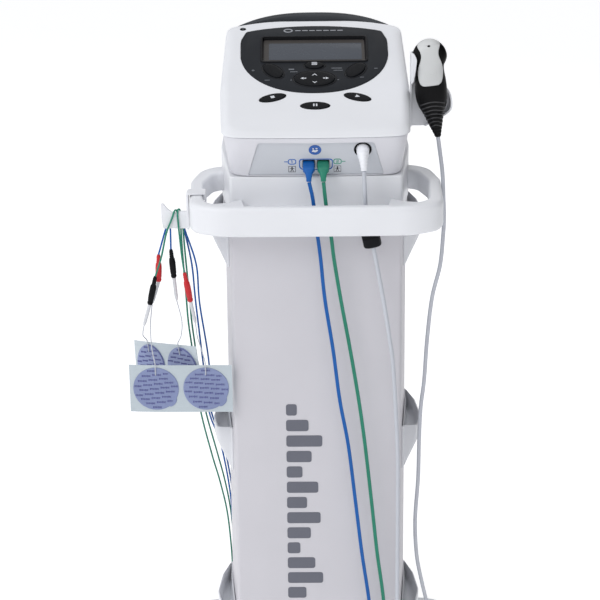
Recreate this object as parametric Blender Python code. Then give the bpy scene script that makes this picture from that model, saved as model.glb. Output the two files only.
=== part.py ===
"""Combined ultrasound and electrotherapy unit on its wheeled therapy cart.

Metres, +Z up, front of the unit towards -Y.  Origin on the floor under the
middle of the base.
"""
import math

import bmesh
import bpy
from mathutils import Vector

# ---------------------------------------------------------------- dimensions
WALL = 0.003                    # moulded shell wall
GAP = 0.0004                    # clearance between neighbouring pieces

HEAD_BOTTOM = 1.0213
SEAM_Z = 1.0870                 # parting line of the two shells
FACE_TILT = math.radians(17.06)
FACE_ORIGIN = Vector((0.0, -0.020, 1.142))
PANEL_ORIGIN = Vector((0.0, -0.1765, 1.054))
PANEL_LEAN = math.radians(17.65)

KEY_TRAVEL = 0.0012
SHELL_TOP = 0.004               # wall of the sloping control face
BOARD_DEPTH = 0.0125            # circuit board below the control face

BASE_HALF = 0.240
BASE_BOTTOM = 0.078
BASE_TOP = 0.092
WHEEL_RADIUS = 0.0325
CASTER_X = 0.176
CASTER_Y = 0.172
CASTER_TRAIL = 0.022

COLUMN_TOP = 0.9455
COLUMN_FRONT_Y = -0.157
COLUMN_REAR_Y = 0.100
DECK_BOTTOM = 0.946
DECK_TOP = 1.0208
RING_TOP = 0.991
HOOP_RISE = 0.014               # underside of the hoop climbs towards the rear

BIN_RIMS = (0.928, 0.585, 0.270)
BIN_HEIGHT = 0.070
BIN_DEPTH = 0.0270              # how far a bin stands out from the flank

CABLE_DIAMETER = 0.0062
TRUNK_DIAMETER = 0.0056
WIRE_DIAMETER = 0.0028
CORD_GAP = 0.0012                # between a cord end and the piece it leaves

WHITE = (0.80, 0.81, 0.84)
COLUMN_GREY = (0.66, 0.65, 0.69)
SHIELD = (0.028, 0.034, 0.042)
KEY_BLACK = (0.012, 0.012, 0.015)
BLUE = (0.010, 0.130, 0.480)
GREEN = (0.070, 0.310, 0.220)
RED = (0.600, 0.030, 0.035)
LINER = (0.500, 0.570, 0.610)


# ------------------------------------------------------------------- helpers
def clear_scene():
    for obj in list(bpy.data.objects):
        bpy.data.objects.remove(obj, do_unlink=True)


def paint(obj, colour, roughness=0.4, metallic=0.0):
    """Give the piece its own plain Principled material."""
    material = bpy.data.materials.new(obj.name + "_finish")
    material.use_nodes = True
    shader = material.node_tree.nodes["Principled BSDF"]
    shader.inputs["Base Color"].default_value = (*colour, 1.0)
    shader.inputs["Roughness"].default_value = roughness
    shader.inputs["Metallic"].default_value = metallic
    obj.data.materials.append(material)


def finish(name, bm, colour, origin=(0, 0, 0), smooth=35.0, **look):
    """Turn world-space bmesh geometry into a named piece with its own origin."""
    bmesh.ops.recalc_face_normals(bm, faces=bm.faces)
    bmesh.ops.translate(bm, vec=-Vector(origin), verts=bm.verts)
    mesh = bpy.data.meshes.new(name)
    bm.to_mesh(mesh)
    bm.free()
    mesh.shade_smooth()
    mesh.set_sharp_from_angle(angle=math.radians(smooth))
    obj = bpy.data.objects.new(name, mesh)
    obj.location = origin
    bpy.context.scene.collection.objects.link(obj)
    paint(obj, colour, **look)
    return obj


def loft(bm, sections, close=False):
    """Skin rings of equal length; flat caps at the ends unless the run closes."""
    rings = [[bm.verts.new(p) for p in section] for section in sections]
    count = len(rings[0])
    pairs = list(zip(rings, rings[1:]))
    if close:
        pairs.append((rings[-1], rings[0]))
    for low, high in pairs:
        for i in range(count):
            j = (i + 1) % count
            bm.faces.new((low[i], low[j], high[j], high[i]))
    if not close:
        bm.faces.new(list(reversed(rings[0])))
        bm.faces.new(rings[-1])
    return bm


def rounded(corners, segments=6):
    """Plan outline through (x, y, radius) corners, each corner an arc."""
    outline = []
    count = len(corners)
    for i, (x, y, radius) in enumerate(corners):
        here = Vector((x, y))
        before = Vector(corners[i - 1][:2]) - here
        after = Vector(corners[(i + 1) % count][:2]) - here
        reach = min(before.length, after.length) * 0.49
        before.normalize()
        after.normalize()
        half = before.angle(after) / 2.0
        tangent = min(radius / max(math.tan(half), 1e-6), reach)
        start = here + before * tangent
        end = here + after * tangent
        for k in range(segments + 1):
            t = k / segments
            outline.append(start * (1 - t) ** 2 + here * (2 * t * (1 - t)) + end * t ** 2)
    return outline


def mirrored(half):
    """Complete a half outline given from the front middle round to the rear middle."""
    return half + [(-x, y, r) for x, y, r in reversed(half)]


def level(outline, z):
    return [Vector((p.x, p.y, z)) for p in outline]


def ellipse(count, a, b, turn=0.0, power=2.0):
    points = []
    for k in range(count):
        angle = 2 * math.pi * k / count
        c, s = math.cos(angle), math.sin(angle)
        x = a * math.copysign(abs(c) ** (2 / power), c)
        y = b * math.copysign(abs(s) ** (2 / power), s)
        points.append((x * math.cos(turn) - y * math.sin(turn),
                       x * math.sin(turn) + y * math.cos(turn)))
    return points


def face_point(x, v, n=0.0):
    """Point on the sloping control face: x across, v up the slope, n outwards."""
    up = Vector((0, math.cos(FACE_TILT), math.sin(FACE_TILT)))
    out = Vector((0, -math.sin(FACE_TILT), math.cos(FACE_TILT)))
    return FACE_ORIGIN + Vector((x, 0, 0)) + up * v + out * n


def panel_point(x, w, n=0.0):
    """Point on the leaning front socket panel: x across, w upwards, n outwards."""
    up = Vector((0, -math.sin(PANEL_LEAN), math.cos(PANEL_LEAN)))
    out = Vector((0, -math.cos(PANEL_LEAN), -math.sin(PANEL_LEAN)))
    return PANEL_ORIGIN + Vector((x, 0, 0)) + up * w + out * n


def face_z(y):
    return FACE_ORIGIN.z + (y - FACE_ORIGIN.y) * math.tan(FACE_TILT)


def cutter(name, bm):
    """Hidden tool body for a Boolean modifier."""
    bmesh.ops.recalc_face_normals(bm, faces=bm.faces)
    mesh = bpy.data.meshes.new(name)
    bm.to_mesh(mesh)
    bm.free()
    obj = bpy.data.objects.new(name, mesh)
    obj.hide_render = True
    obj.display_type = "WIRE"
    bpy.context.scene.collection.objects.link(obj)
    return obj


def boolean(obj, tool, operation="DIFFERENCE"):
    modifier = obj.modifiers.new(tool.name, "BOOLEAN")
    modifier.operation = operation
    modifier.solver = "EXACT"
    modifier.object = tool
    return modifier


def box(bm, low, high):
    x0, y0, z0 = low
    x1, y1, z1 = high
    ring = [(x0, y0), (x1, y0), (x1, y1), (x0, y1)]
    loft(bm, [[Vector((x, y, z)) for x, y in ring] for z in (z0, z1)])
    return bm


def frame_along(points, side):
    """Sideways and upward axes at every point of a path."""
    frames = []
    last = len(points) - 1
    for i in range(len(points)):
        run = (points[min(i + 1, last)] - points[max(i - 1, 0)]).normalized()
        across = (side - run * side.dot(run)).normalized()
        frames.append((across, run.cross(across)))
    return frames


def sweep(bm, points, sizes, side=(1, 0, 0), count=12, power=2.0):
    """Skin ellipses of (half width, half height) along a path of points."""
    points = [Vector(p) for p in points]
    frames = frame_along(points, Vector(side))
    sections = []
    for point, (across, over), (a, b) in zip(points, frames, sizes):
        sections.append([point + across * x + over * y for x, y in ellipse(count, a, b, 0.0, power)])
    return loft(bm, sections)


def lathe(bm, profile, start, axis, count=24):
    """Solid of revolution from (distance along axis, radius) pairs."""
    axis = Vector(axis).normalized()
    across = axis.orthogonal().normalized()
    over = axis.cross(across)
    sections = []
    for along, radius in profile:
        centre = Vector(start) + axis * along
        sections.append([centre + across * (radius * math.cos(2 * math.pi * k / count))
                         + over * (radius * math.sin(2 * math.pi * k / count)) for k in range(count)])
    return loft(bm, sections)


def cord_points(points, step):
    """Smooth curve through the hand-chosen points, finer where they sit close together."""
    points = [Vector(p) for p in points]
    padded = [points[0] * 2 - points[1]] + points + [points[-1] * 2 - points[-2]]
    path = []
    for a, b, c, d in zip(padded, padded[1:], padded[2:], padded[3:]):
        pieces = max(1, round((c - b).length / step))
        for k in range(pieces):
            t = k / pieces
            path.append(0.5 * (b * 2 + (c - a) * t + (a * 2 - b * 5 + c * 4 - d) * t ** 2
                               + (b * 3 - a - c * 3 + d) * t ** 3))
    path.append(points[-1])
    return path


def cord(name, route, diameter, colour, step):
    """Plain round cord along a route, as a filled tube."""
    points = cord_points(route, step)
    curve = bpy.data.curves.new(name, "CURVE")
    curve.dimensions = "3D"
    curve.bevel_depth = diameter / 2
    curve.bevel_resolution = 2
    curve.use_fill_caps = True
    spline = curve.splines.new("POLY")
    spline.points.add(len(points) - 1)
    for point, place in zip(spline.points, points):
        point.co = (*place, 1.0)
    obj = bpy.data.objects.new(name, curve)
    bpy.context.scene.collection.objects.link(obj)
    paint(obj, colour, roughness=0.45)
    return obj


# ------------------------------------------------------- head: upper shell
def head_outline(front, rear, wf, wm, wr, inset=0.0):
    """Plan of the head, bowed front and rear edges and slightly barrelled sides."""
    half = [
        (0.0, front - 0.003 + inset, 0.3),
        (wf * 0.62 - inset, front - 0.001 + inset, 0.3),
        (wf - inset, front + 0.004 + inset, 0.020 - inset * 0.6),
        (wm - inset, front * 0.3, 0.25),
        (wr - inset, rear - 0.012 - inset, 0.026 - inset * 0.6),
        (wr * 0.55, rear - inset, 0.25),
    ]
    full = half + [(-x, y, r) for x, y, r in reversed(half) if x > 0]
    return rounded(full, segments=4)


def upper_shell():
    bm = bmesh.new()
    outer = [(0.0, 0.0, None), (0.0, 0.013, 0.85), (0.0016, 0.008, 0.62), (0.005, 0.0038, 0.36),
             (0.0095, 0.0012, 0.16), (0.015, 0.0, 0.0)]
    sections = []
    for inset, drop, share in outer:
        plan = head_outline(-0.187, 0.121, 0.1395, 0.1440, 0.1335, inset)
        ring = []
        for p in plan:
            if share is None:
                lean = 0.012 * max(0.0, min(1.0, p.y / 0.121)) if p.y > 0 else 0.0
                ring.append(Vector((p.x, p.y - lean, SEAM_Z + GAP)))
                continue
            rise = face_z(p.y) - SEAM_Z
            ring.append(Vector((p.x, p.y, face_z(p.y) - min(drop, rise * share))))
        sections.append(ring)
    sections.reverse()
    inner = head_outline(-0.163, 0.114, 0.1340, 0.1385, 0.1290, 0.004)
    sections.append([Vector((p.x, p.y - (0.008 if p.y > 0.09 else 0.0), SEAM_Z + GAP)) for p in inner])
    sections.append([Vector((p.x, p.y, face_z(p.y) - SHELL_TOP / math.cos(FACE_TILT))) for p in inner])
    loft(bm, sections)
    return finish("head_upper_shell", bm, WHITE, roughness=0.35)


def shield_outline(grow=0.0):
    """Outline of the dark control shield in control-face coordinates."""
    points = []
    for x, v in ((-0.1055, 0.1155), (-0.080, 0.1225), (-0.052, 0.1275), (-0.026, 0.1302), (0.0, 0.131),
                 (0.026, 0.1302), (0.052, 0.1275), (0.080, 0.1225), (0.1055, 0.1155), (0.1105, 0.104),
                 (0.1135, 0.088)):
        points.append(Vector((x, v)))
    for k in range(23):
        angle = math.pi * k / 22
        c, s = math.cos(angle), math.sin(angle)
        x = 0.1145 * math.copysign(abs(c) ** (2 / 2.2), c)
        points.append(Vector((x, 0.062 - 0.1225 * s ** (2 / 2.2))))
    points.append(Vector((-0.1135, 0.088)))
    points.append(Vector((-0.1105, 0.104)))
    centre = Vector((0.0, 0.04))
    return [p + (p - centre).normalized() * grow for p in points]


def face_prism(bm, outline, low, high):
    loft(bm, [[face_point(x, v, n) for x, v in outline] for n in (low, high)])


KEYS = {
    "stop_button": (-0.0638, -0.0730, 0.0215, 0.0098, 21.5),
    "start_button": (0.0638, -0.0730, 0.0215, 0.0098, -21.5),
    "pause_button": (0.0, -0.0955, 0.0223, 0.0100, 0.0),
    "menu_button": (0.0, 0.0145, 0.0140, 0.0090, 0.0),
    "arrow_pad": (0.0, -0.0230, 0.0305, 0.0205, 0.0),
    "left_key": (-0.0632, 0.0000, 0.0212, 0.0112, -59.0),
    "right_key": (0.0632, 0.0000, 0.0212, 0.0112, 59.0),
}
SHIELD_KEYS = ("menu_button", "arrow_pad", "left_key", "right_key")


def key_outline(name, scale=1.0, grow=0.0, count=20):
    x, v, a, b, turn = KEYS[name]
    turn = math.radians(turn)
    return [(x + px, v + pv) for px, pv in ellipse(count, a * scale + grow, b * scale + grow, turn)]


def key(name):
    """Oval push key: domed cap, stem and a retaining flange under the shell."""
    top = 0.0030 if name in SHIELD_KEYS else 0.0014
    levels = [(-0.0070, 1.07), (-0.0046, 1.07), (-0.0046, 1.0), (top - 0.0010, 1.0), (top - 0.0003, 0.955),
              (top, 0.85)]
    x, v = KEYS[name][:2]
    bm = bmesh.new()
    sections = []
    for n, scale in levels:
        grow = 0.0018 if scale > 1.0 else 0.0
        sections.append([face_point(px, pv, n) for px, pv in key_outline(name, min(scale, 1.0), grow)])
    loft(bm, sections)
    return finish(name, bm, KEY_BLACK, origin=face_point(x, v, 0.0), roughness=0.45)


def display_frame():
    """Display window: a shallow tray whose glass floor sits below the shield."""
    outline = [Vector(p) for p in rounded([(-0.0835, 0.0262, 0.003), (0.0835, 0.0262, 0.003),
                                           (0.0835, 0.1085, 0.004), (-0.0835, 0.1085, 0.004)], 2)]
    middle = Vector((0.0, 0.0673))
    inner = [middle + Vector(((p.x - middle.x) * 0.965, (p.y - middle.y) * 0.93)) for p in outline]
    bm = bmesh.new()
    loft(bm, [[face_point(p.x, p.y, -0.0072) for p in inner],
              [face_point(p.x, p.y, -0.0043) for p in inner],
              [face_point(p.x, p.y, -0.0043) for p in outline],
              [face_point(p.x, p.y, -0.0098) for p in outline]])
    return finish("display_window", bm, (0.055, 0.065, 0.080), roughness=0.18)


def control_face():
    shell = upper_shell()
    pocket = bmesh.new()
    face_prism(pocket, shield_outline(0.0004), -0.0016, 0.020)
    boolean(shell, cutter("shield_pocket", pocket))

    bm = bmesh.new()
    edge = shield_outline(-0.0006)
    body = shield_outline(0.0)
    loft(bm, [[face_point(p.x, p.y, -0.0013) for p in body],
              [face_point(p.x, p.y, 0.0007) for p in body],
              [face_point(p.x, p.y, 0.0011) for p in edge]])
    shield = finish("control_fascia", bm, SHIELD, roughness=0.42)

    holes = bmesh.new()
    for name in KEYS:
        face_prism(holes, key_outline(name, 1.0, 0.0005), -0.012, 0.030)
    window = rounded([(-0.0800, 0.0275, 0.005), (0.0800, 0.0275, 0.005),
                      (0.0800, 0.1045, 0.005), (-0.0800, 0.1045, 0.005)], 2)
    face_prism(holes, [(p.x, p.y) for p in window], -0.012, 0.030)
    tool = cutter("face_openings", holes)
    boolean(shell, tool)
    boolean(shield, tool)
    for name in KEYS:
        key(name)
    display_frame()


def circuit_board():
    """Control board with its display driver and a row of key switches."""
    bm = bmesh.new()
    plate = [(-0.112, -0.108), (0.112, -0.108), (0.112, 0.100), (-0.112, 0.100)]
    face_prism(bm, plate, -BOARD_DEPTH - 0.0016, -BOARD_DEPTH)
    board = finish("circuit_board", bm, (0.02, 0.16, 0.07), roughness=0.5)
    chips = bmesh.new()
    for x, v, a, b in ((-0.075, 0.060, 0.012, 0.012), (-0.02, 0.070, 0.010, 0.014), (0.040, 0.060, 0.016,
                                                                                     0.009),
                       (0.085, 0.060, 0.008, 0.018), (0.0, -0.060, 0.020, 0.006)):
        face_prism(chips, [(x - a, v - b), (x + a, v - b), (x + a, v + b), (x - a, v + b)],
                   -BOARD_DEPTH - 0.0070, -BOARD_DEPTH - 0.0010)
    boolean(board, cutter("board_parts", chips), "UNION")


# ------------------------------------------------------- head: lower shell
def lower_shell():
    bm = bmesh.new()

    def plan(share, inset):
        front = -0.166 - 0.021 * share
        side = 0.1275 + 0.0120 * share
        return head_outline(front, 0.104 + 0.004 * share, side, side + 0.003 + 0.0015 * share,
                            side - 0.003 - 0.003 * share, inset)

    top = SEAM_Z - GAP
    loft(bm, [level(plan(0.02, WALL), HEAD_BOTTOM + WALL), level(plan(1.0, WALL), top),
              level(plan(1.0, 0.0), top), level(plan(0.045, 0.0), HEAD_BOTTOM + 0.0030),
              level(plan(0.01, 0.0008), HEAD_BOTTOM + 0.0010), level(plan(0.0, 0.0028), HEAD_BOTTOM)])
    shell = finish("head_lower_shell", bm, WHITE, roughness=0.35)
    opening = bmesh.new()
    outline = [(p.x, p.y) for p in socket_plate_outline(0.0004)]
    loft(opening, [[panel_point(x, w, n) for x, w in outline] for n in (-0.0075, 0.006)])
    boolean(shell, cutter("panel_opening", opening))
    rear = bmesh.new()
    box(rear, (0.0400, 0.085, 1.0365), (0.0850, 0.125, 1.0660))
    box(rear, (0.0000, 0.085, 1.0385), (0.0240, 0.125, 1.0640))
    boolean(shell, cutter("rear_openings", rear))


def socket_plate_outline(grow=0.0):
    return rounded([(-0.1005 - grow, -0.0318 - grow, 0.003), (0.1005 + grow, -0.0318 - grow, 0.003),
                    (0.0850 + grow, 0.0262 + grow, 0.006), (-0.0850 - grow, 0.0262 + grow, 0.006)], 3)


SOCKETS = {"blue": -0.0107, "green": 0.0107}
SOCKET_W = -0.0137
TOOL_SOCKET = (0.0692, 0.0126)


def connector_panel():
    """Recessed socket plate with two lead sockets and the applicator socket."""
    bm = bmesh.new()
    outline = [(p.x, p.y) for p in socket_plate_outline(0.0)]
    loft(bm, [[panel_point(x, w, n) for x, w in outline] for n in (-0.0065, -0.0018)])
    plate = finish("connector_panel", bm, (0.60, 0.62, 0.67), roughness=0.4)
    rim = bmesh.new()
    ring = rounded([(-0.0250, SOCKET_W - 0.0098, 0.006), (0.0250, SOCKET_W - 0.0098, 0.006),
                    (0.0250, SOCKET_W + 0.0098, 0.006), (-0.0250, SOCKET_W + 0.0098, 0.006)], 3)
    loft(rim, [[panel_point(p.x, p.y, n) for p in ring] for n in (-0.0040, -0.0008)])
    x, w = TOOL_SOCKET
    lathe(rim, [(0.0, 0.0130), (0.0032, 0.0130), (0.0042, 0.0122)], panel_point(x, w, -0.0040),
          panel_point(0, 0, 1) - panel_point(0, 0, 0), 24)
    boolean(plate, cutter("socket_rims", rim), "UNION")
    holes = bmesh.new()
    for socket_x in SOCKETS.values():
        outline = rounded([(socket_x - 0.0094, SOCKET_W - 0.0070, 0.002), (socket_x + 0.0094,
                                                                           SOCKET_W - 0.0070, 0.002),
                           (socket_x + 0.0094, SOCKET_W + 0.0070, 0.002),
                           (socket_x - 0.0094, SOCKET_W + 0.0070, 0.002)], 2)
        loft(holes, [[panel_point(p.x, p.y, n) for p in outline] for n in (-0.0120, 0.0040)])
    lathe(holes, [(0.0, 0.0104), (0.0180, 0.0104)], panel_point(x, w, -0.0120),
          panel_point(0, 0, 1) - panel_point(0, 0, 0), 24)
    boolean(plate, cutter("socket_holes", holes))


def lead_plug(colour_name, colour):
    """Flat lead plug pushed into its socket, with a drooping strain relief."""
    x = SOCKETS[colour_name]
    path = [panel_point(x, SOCKET_W, n) for n in (-0.0090, -0.0010, 0.0020, 0.0100, 0.0135)]
    path += [panel_point(x, SOCKET_W - 0.0010, 0.0165), panel_point(x, SOCKET_W - 0.0030, 0.0200),
             panel_point(x, SOCKET_W - 0.0070, 0.0240), panel_point(x, SOCKET_W - 0.0115, 0.0262)]
    sizes = [(0.0076, 0.0054), (0.0086, 0.0060), (0.0087, 0.0062), (0.0087, 0.0062), (0.0083, 0.0058),
             (0.0070, 0.0050), (0.0052, 0.0042), (0.0042, 0.0036), (0.0036, 0.0031)]
    bm = bmesh.new()
    sweep(bm, path, sizes, count=16, power=4.0)
    finish(colour_name + "_plug", bm, colour, origin=path[1], roughness=0.4)
    return path[-1]


def applicator_plug():
    """Round white plug of the applicator cable with a ribbed strain relief."""
    x, w = TOOL_SOCKET
    path = [panel_point(x, w, n) for n in (-0.0090, 0.0000, 0.0080, 0.0140)]
    path += [panel_point(x, w - 0.0015, 0.0185), panel_point(x + 0.0003, w - 0.0045, 0.0230),
             panel_point(x + 0.0006, w - 0.0095, 0.0270), panel_point(x + 0.0010, w - 0.0160, 0.0295)]
    sizes = [(0.0098, 0.0098), (0.0098, 0.0098), (0.0094, 0.0094), (0.0086, 0.0086), (0.0074, 0.0074),
             (0.0062, 0.0062), (0.0052, 0.0052), (0.0044, 0.0044)]
    bm = bmesh.new()
    sweep(bm, path, sizes, count=20)
    finish("applicator_plug", bm, (0.86, 0.87, 0.90), origin=path[1], roughness=0.35)
    return path[-1]


def mains_inlet():
    """Three-pin mains inlet in the rear wall, cavity open to the rear."""
    bm = bmesh.new()
    flange = rounded([(0.0350, 1.0320, 0.004), (0.0900, 1.0320, 0.004), (0.0900, 1.0705, 0.004),
                      (0.0350, 1.0705, 0.004)], 2)
    body = rounded([(0.0405, 1.0370, 0.003), (0.0845, 1.0370, 0.003), (0.0845, 1.0655, 0.003),
                    (0.0405, 1.0655, 0.003)], 2)
    loft(bm, [[Vector((p.x, 0.0800, p.y)) for p in body], [Vector((p.x, 0.1088, p.y)) for p in body],
              [Vector((p.x, 0.1088, p.y)) for p in flange], [Vector((p.x, 0.1112, p.y)) for p in flange]])
    inlet = finish("mains_inlet", bm, KEY_BLACK, roughness=0.5)
    cavity = bmesh.new()
    mouth = rounded([(0.0500, 1.0425, 0.002), (0.0750, 1.0425, 0.002), (0.0750, 1.0545, 0.005),
                     (0.0700, 1.0600, 0.002),
                     (0.0550, 1.0600, 0.002), (0.0500, 1.0545, 0.005)], 2)
    loft(cavity, [[Vector((p.x, y, p.y)) for p in mouth] for y in (0.0900, 0.1200)])
    boolean(inlet, cutter("inlet_mouth", cavity))
    pins = bmesh.new()
    for px, pz in ((0.0625, 1.0555), (0.0565, 1.0480), (0.0685, 1.0480)):
        box(pins, (px - 0.0010, 0.0880, pz - 0.0020), (px + 0.0010, 0.1060, pz + 0.0020))
    boolean(inlet, cutter("inlet_pins", pins), "UNION")


def power_switch():
    """Rocker in the rear wall, tipping about its horizontal middle line."""
    profile = [(-0.0115, 0.0010), (0.0, -0.0010), (0.0115, 0.0030), (0.0100, -0.0070), (-0.0100, -0.0070)]
    pivot = Vector((0.0120, 0.1060, 1.0512))
    bm = bmesh.new()
    loft(bm, [[pivot + Vector((x, out, up)) for up, out in profile] for x in (-0.0113, 0.0113)])
    finish("power_switch", bm, KEY_BLACK, origin=pivot, roughness=0.4)


def power_supply():
    """Closed power module in the rear of the tub, with a finned cover."""
    bm = bmesh.new()
    box(bm, (-0.105, -0.040, HEAD_BOTTOM + WALL + GAP), (-0.015, 0.065, 1.0560))
    supply = finish("power_supply", bm, (0.45, 0.46, 0.48), roughness=0.4, metallic=0.8)
    fins = bmesh.new()
    for k in range(8):
        box(fins, (-0.098 + 0.010 * k, -0.030, 1.0520), (-0.0945 + 0.010 * k, 0.055, 1.0640))
    boolean(supply, cutter("supply_fins", fins), "UNION")


def carry_handle():
    """Dark arched carrying bar across the rear of the head."""
    path = []
    sizes = []
    for k in range(17):
        t = -1 + 2 * k / 16
        bow = 1 - abs(t) ** 2.6
        path.append(Vector((0.125 * t, 0.1180 + 0.0270 * bow, 1.1640 + 0.0150 * bow)))
        sizes.append((0.0055 + 0.0025 * bow, 0.0120 + 0.0010 * bow))
    bm = bmesh.new()
    sweep(bm, path, sizes, side=(0, 1, 0), count=12, power=2.8)
    finish("carry_handle", bm, (0.030, 0.034, 0.042), roughness=0.4)


# ----------------------------------------------------------- applicator
TOOL_TOP = Vector((0.1690, -0.0800, 1.2060))
TOOL_TAIL = Vector((0.1855, -0.0800, 1.0590))


def tool_point(along, across=0.0, out=0.0):
    """Point in the applicator: metres down from its crown, across, towards the front."""
    down = (TOOL_TAIL - TOOL_TOP).normalized()
    side = Vector((0, 0, 1)).cross(Vector((0, 1, 0))) * -1.0
    side = (side - down * side.dot(down)).normalized()
    front = Vector((0, -1, 0))
    return TOOL_TOP + down * along + side * across + front * out


def tool_section(along, half, front, back, power=2.3, count=20):
    ring = []
    for x, y in ellipse(count, half, 1.0, 0.0, power):
        ring.append(tool_point(along, x, y * (front if y > 0 else back)))
    return ring


TOOL_PROFILE = [
    (0.0010, 0.0060, 0.0040, 0.0060), (0.0040, 0.0130, 0.0085, 0.0120), (0.0100, 0.0200, 0.0120, 0.0160),
    (0.0180, 0.0245, 0.0140, 0.0175), (0.0270, 0.0260, 0.0150, 0.0175), (0.0350, 0.0240, 0.0155, 0.0165),
    (0.0410, 0.0212, 0.0160, 0.0150), (0.0500, 0.0212, 0.0168, 0.0140), (0.0620, 0.0232, 0.0178, 0.0145),
    (0.0760, 0.0243, 0.0182, 0.0150), (0.0900, 0.0236, 0.0178, 0.0148), (0.1020, 0.0208, 0.0165, 0.0138),
    (0.1100, 0.0172, 0.0148, 0.0125),
]


def applicator():
    bm = bmesh.new()
    loft(bm, [tool_section(*row) for row in TOOL_PROFILE])
    origin = tool_point(0.060)
    grip = finish("applicator_grip", bm, KEY_BLACK, origin=origin, roughness=0.55)

    # inlaid light cover: follows the front of the grip and stands just proud of it
    groove = bmesh.new()
    cover_body(groove, 0.0007, -0.0036, 0.0100)
    boolean(grip, cutter("cover_pocket", groove))
    bm = bmesh.new()
    cover_body(bm, 0.0, -0.0018, 0.0007)
    finish("applicator_cover", bm, (0.56, 0.57, 0.57), origin=origin, roughness=0.4)

    bm = bmesh.new()
    centre = tool_point(0.0275, 0.0, -0.0165)
    lathe(bm, [(0.0012, 0.0150), (0.0012, 0.0180), (0.0025, 0.0190), (0.0105, 0.0190), (0.0118, 0.0180),
               (0.0122, 0.0120)], centre, (0, 1, 0), 28)
    finish("sound_head", bm, (0.70, 0.71, 0.72), origin=centre, roughness=0.25, metallic=1.0)

    bm = bmesh.new()
    sections = []
    for k in range(8):
        along = 0.1105 + 0.0052 * k
        half = 0.0166 - 0.00160 * k
        for step, scale in ((0.0, 1.0), (0.0030, 0.97), (0.0034, 0.86)):
            sections.append(tool_section(along + step, half * scale, half * 0.90 * scale,
                                         half * 0.80 * scale,
                                         2.1, 14))
    sections.append(tool_section(0.1516, 0.0045, 0.0040, 0.0040, 2.1, 14))
    loft(bm, sections)
    finish("applicator_boot", bm, KEY_BLACK, origin=origin, roughness=0.5)
    return tool_point(0.1521)


def cover_half_width(along):
    stations = [(0.0, 0.0100), (0.008, 0.0150), (0.016, 0.0118), (0.026, 0.0112), (0.036, 0.0122),
                (0.050, 0.0150), (0.064, 0.0168), (0.074, 0.0160), (0.080, 0.0110)]
    for (a0, w0), (a1, w1) in zip(stations, stations[1:]):
        if along <= a1:
            return w0 + (w1 - w0) * (along - a0) / (a1 - a0)
    return stations[-1][1]


def grip_front(along, across):
    """How far the grip surface stands out in front at this spot."""
    for (a0, h0, f0, b0), (a1, h1, f1, b1) in zip(TOOL_PROFILE, TOOL_PROFILE[1:]):
        if along <= a1:
            t = max(0.0, (along - a0) / (a1 - a0))
            half, front = h0 + (h1 - h0) * t, f0 + (f1 - f0) * t
            share = min(0.999, abs(across) / half)
            return front * (1 - share ** 2.3) ** (1 / 2.3)
    return 0.0


def cover_body(bm, grow, low, high):
    """Thin shell lying on the front of the grip, between two offsets."""
    rows, columns = 13, 6
    grids = []
    for offset in (high, low):
        grid = []
        for i in range(rows + 1):
            along = 0.0030 - grow + (0.0770 + 2 * grow) * i / rows
            half = cover_half_width(along) + grow
            row = []
            for j in range(columns + 1):
                across = half * (-1 + 2 * j / columns)
                row.append(bm.verts.new(tool_point(along, across, grip_front(along, across) + offset)))
            grid.append(row)
        grids.append(grid)
    top, bottom = grids
    for i in range(rows):
        for j in range(columns):
            bm.faces.new((top[i][j], top[i][j + 1], top[i + 1][j + 1], top[i + 1][j]))
            bm.faces.new((bottom[i][j], bottom[i + 1][j], bottom[i + 1][j + 1], bottom[i][j + 1]))
    for i in range(rows):
        bm.faces.new((top[i][0], top[i + 1][0], bottom[i + 1][0], bottom[i][0]))
        bm.faces.new((top[i][-1], bottom[i][-1], bottom[i + 1][-1], top[i + 1][-1]))
    for j in range(columns):
        bm.faces.new((top[0][j], bottom[0][j], bottom[0][j + 1], top[0][j + 1]))
        bm.faces.new((top[-1][j], top[-1][j + 1], bottom[-1][j + 1], bottom[-1][j]))


def applicator_holder():
    """Cradle on the right flank of the head: side arm, back wall and curled lip."""
    rows = [
        (1.0715, 0.0010, 0.1650, 0.0000), (1.0780, 0.0200, 0.1790, 0.0010), (1.0870, 0.0260, 0.1960,
                                                                             0.0100),
        (1.0980, 0.0280, 0.2030, 0.0200), (1.1100, 0.0290, 0.2040, 0.0210), (1.1220, 0.0290, 0.2000,
                                                                             0.0110),
        (1.1350, 0.0280, 0.1860, 0.0010), (1.1470, 0.0260, 0.1640, 0.0000), (1.1550, 0.0240, 0.1520,
                                                                             0.0000),
        (1.1630, 0.0200, 0.1508, 0.0000), (1.1695, 0.0100, 0.1505, 0.0000),
    ]
    back = -0.0570
    left = 0.1466
    bm = bmesh.new()
    grid = []
    for z, arm, right, lip in rows:
        path = [Vector((left, back - 0.008 - arm)), Vector((left, back - 0.004 - arm * 0.5)),
                Vector((left, back - 0.003)),
                Vector((left + 0.0012, back - 0.0008)), Vector((left + 0.0035, back))]
        for t in (0.33, 0.66, 1.0):
            path.append(Vector((left + 0.0035 + (right - left - 0.0035) * t, back)))
        path.append(Vector((right + 0.0015, back - 0.0015 - lip * 0.35)))
        path.append(Vector((right + 0.0018, back - 0.0030 - lip)))
        grid.append([bm.verts.new((p.x, p.y, z)) for p in path])
    for low, high in zip(grid, grid[1:]):
        for a, b, c, d in zip(low, low[1:], high[1:], high):
            bm.faces.new((a, b, c, d))
    holder = finish("applicator_holder", bm, WHITE, roughness=0.35)
    skin = holder.modifiers.new("wall", "SOLIDIFY")
    skin.thickness = 0.0026
    skin.offset = 0.0


# ------------------------------------------------------------------- cart
def column_side(y):
    """Half width of the column at this depth."""
    return 0.1300 + 0.0120 * max(0.0, min(1.0, (y - COLUMN_FRONT_Y) / 0.16))


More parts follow.
